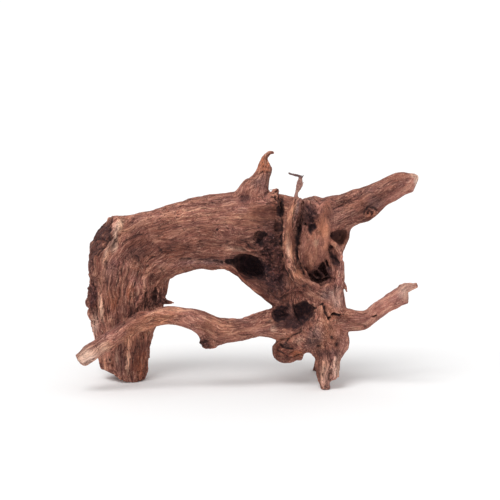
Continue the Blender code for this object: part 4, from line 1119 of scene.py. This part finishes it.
# Painted shade in cracks and pits.
wood = wood.covered(colour(38, 21, 22), mark("crack").between(0.2, 1.0) * 0.85)
furrowed = fine * 0.5 + middling * 0.8 + grains * 0.5 + splits.between(0.0, 0.03) * 0.3
bump = start.node("ShaderNodeBump", {}, {"Height": furrowed, "Distance": 0.0014, "Strength": 0.9})
material.node_tree.links.new(wood.socket, shader.inputs["Base Color"])
material.node_tree.links.new(bump.socket, shader.inputs["Normal"])
material.node_tree.links.new((0.95 - fine * 0.25).socket, shader.inputs["Roughness"])
shader.inputs["Specular IOR Level"].default_value = 0.3
skin.data.materials.clear()
skin.data.materials.append(material)

# The twig. A dead rootlet on top of the strap: a thin neck, a knob in flaking bark and a broken
# crossbar. It is a piece of its own, rooted in the strap's upper end.
TWIG_CELL = 0.4
TWIG_FLAKES = [
    [(56.5, -19, 213, 0.9, 0.8), (55.2, -20, 216, 0.9, 0.6), (55, -20.5, 218.5, 0.5, 0.4)],
    [(60, -18, 216, 1.0, 0.8), (61.6, -18.4, 219, 0.8, 0.6), (62.2, -18.6, 221.5, 0.4, 0.4)],
    [(58.2, -18.6, 219, 1.0, 0.8), (57.6, -19.2, 222.5, 0.9, 0.7), (57, -19.4, 225, 0.4, 0.4)],
    [(59.6, -13, 224, 0.9, 0.8), (61.8, -13.2, 227.5, 0.7, 0.6), (62.8, -13.4, 229.5, 0.3, 0.3)],
]

bm = bmesh.new()
rod(bm, stationed([(54, -18.6, 200, 2.6, 2.6), *TWIG_NECK]), 14, 1.5)
rod(bm, stationed(TWIG_BAR), 12, 1.5)
for stations in TWIG_FLAKES:
    rod(bm, stationed(stations), 8, 1.2)
twig = object_of("twig", bm)
remesh = twig.modifiers.new("one piece", "REMESH")
remesh.mode = "VOXEL"
remesh.voxel_size = TWIG_CELL * MM
settle(twig)
twig_surface = Surface(twig.data)
twig_surface.places = twig_surface.smoothed(twig_surface.places, 2)
bark = 0.28 * twig_surface.noise(2.2, 3) + 0.16 * twig_surface.noise(0.9, 4)
twig_surface.places += twig_surface.normals() * bark[:, None]
twig_surface.store()
twig.data.shade_smooth()

twig_bark = bpy.data.materials.new("twig_bark")
twig_bark.use_nodes = True
bark_shader = twig_bark.node_tree.nodes["Principled BSDF"]
start = Ink(bark_shader.outputs[0])
grains = speckle(1.4)
stripes = start.node(
    "ShaderNodeMapping",
    {"vector_type": "POINT"},
    {"Vector": start.node("ShaderNodeTexCoord", {}, {}, "Object"), "Scale": (1, 1, 0.25)},
)
stripes = start.node("ShaderNodeTexNoise", {}, {"Vector": stripes, "Scale": 1 / (1.1 * MM), "Detail": 3.0})
rind = start.node("ShaderNodeRGB", {}, {}).covered(colour(154, 112, 102), 1.0)
rind = rind.covered(colour(70, 46, 50), grains.between(0.5, 0.62) * 0.7)
rind = rind.covered(colour(186, 148, 130), stripes.between(0.52, 0.66) * 0.7)
height = start.node("ShaderNodeSeparateXYZ", {}, {0: start.node("ShaderNodeTexCoord", {}, {}, "Object")}, 2)
rind = rind.covered(colour(74, 54, 58), height.between(0.2318, 0.2332) * 0.75)
bump = start.node("ShaderNodeBump", {}, {"Height": stripes, "Distance": 0.0005, "Strength": 0.7})
twig_bark.node_tree.links.new(rind.socket, bark_shader.inputs["Base Color"])
twig_bark.node_tree.links.new(bump.socket, bark_shader.inputs["Normal"])
bark_shader.inputs["Roughness"].default_value = 0.85
bark_shader.inputs["Specular IOR Level"].default_value = 0.3
twig.data.materials.append(twig_bark)
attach(twig, "root")

# The floor and the light. A wide, matt, pale floor under one soft lamp from the upper left and
# the even light of a white room. The wood's feet stand on it.
FLOOR_REACH = 12  # metres each way
FLOOR_GREY = 0.9
ROOM_LIGHT = 0.8
LAMP_PLACE = Vector((-0.45, -0.7, 1.3))
LAMP_POWER = 1.5
LAMP_SPREAD = math.radians(32)

bm = bmesh.new()
bmesh.ops.create_grid(bm, x_segments=1, y_segments=1, size=FLOOR_REACH)
floor = object_of("floor", bm)
pale = bpy.data.materials.new("pale_floor")
pale.use_nodes = True
paint = pale.node_tree.nodes["Principled BSDF"]
paint.inputs["Base Color"].default_value = (FLOOR_GREY, FLOOR_GREY, FLOOR_GREY, 1)
paint.inputs["Roughness"].default_value = 0.9
floor.data.materials.append(pale)
floor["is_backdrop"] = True

world = bpy.data.worlds.new("room")
world.use_nodes = True
world.node_tree.nodes["Background"].inputs["Color"].default_value = (1, 1, 1, 1)
world.node_tree.nodes["Background"].inputs["Strength"].default_value = ROOM_LIGHT
bpy.context.scene.world = world
light = bpy.data.lights.new("soft lamp", "SUN")
light.energy = LAMP_POWER
light.angle = LAMP_SPREAD
lamp = bpy.data.objects.new("soft lamp", light)
lamp.location = LAMP_PLACE
lamp.rotation_mode = "QUATERNION"
lamp.rotation_quaternion = (-LAMP_PLACE).to_track_quat("-Z", "Y")
bpy.context.scene.collection.objects.link(lamp)

# The camera. It stands 2.5 m in front of the wood and looks down on it by ten degrees, with a
# long lens that shows VIEW_WIDTH steps across the square picture.
SENSOR = 36
camera_data = bpy.data.cameras.new("front")
camera_data.lens = SENSOR * VIEW_DISTANCE / (VIEW_WIDTH * VIEW_STEP)
camera_data.sensor_width = SENSOR
camera = bpy.data.objects.new("front", camera_data)
camera.location = viewer * MM
camera.rotation_mode = "QUATERNION"
camera.rotation_quaternion = SIGHT_LINE.to_track_quat("-Z", "Y")
bpy.context.scene.collection.objects.link(camera)
bpy.context.scene.camera = camera
bpy.context.scene.view_settings.view_transform = "Standard"

low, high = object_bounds()
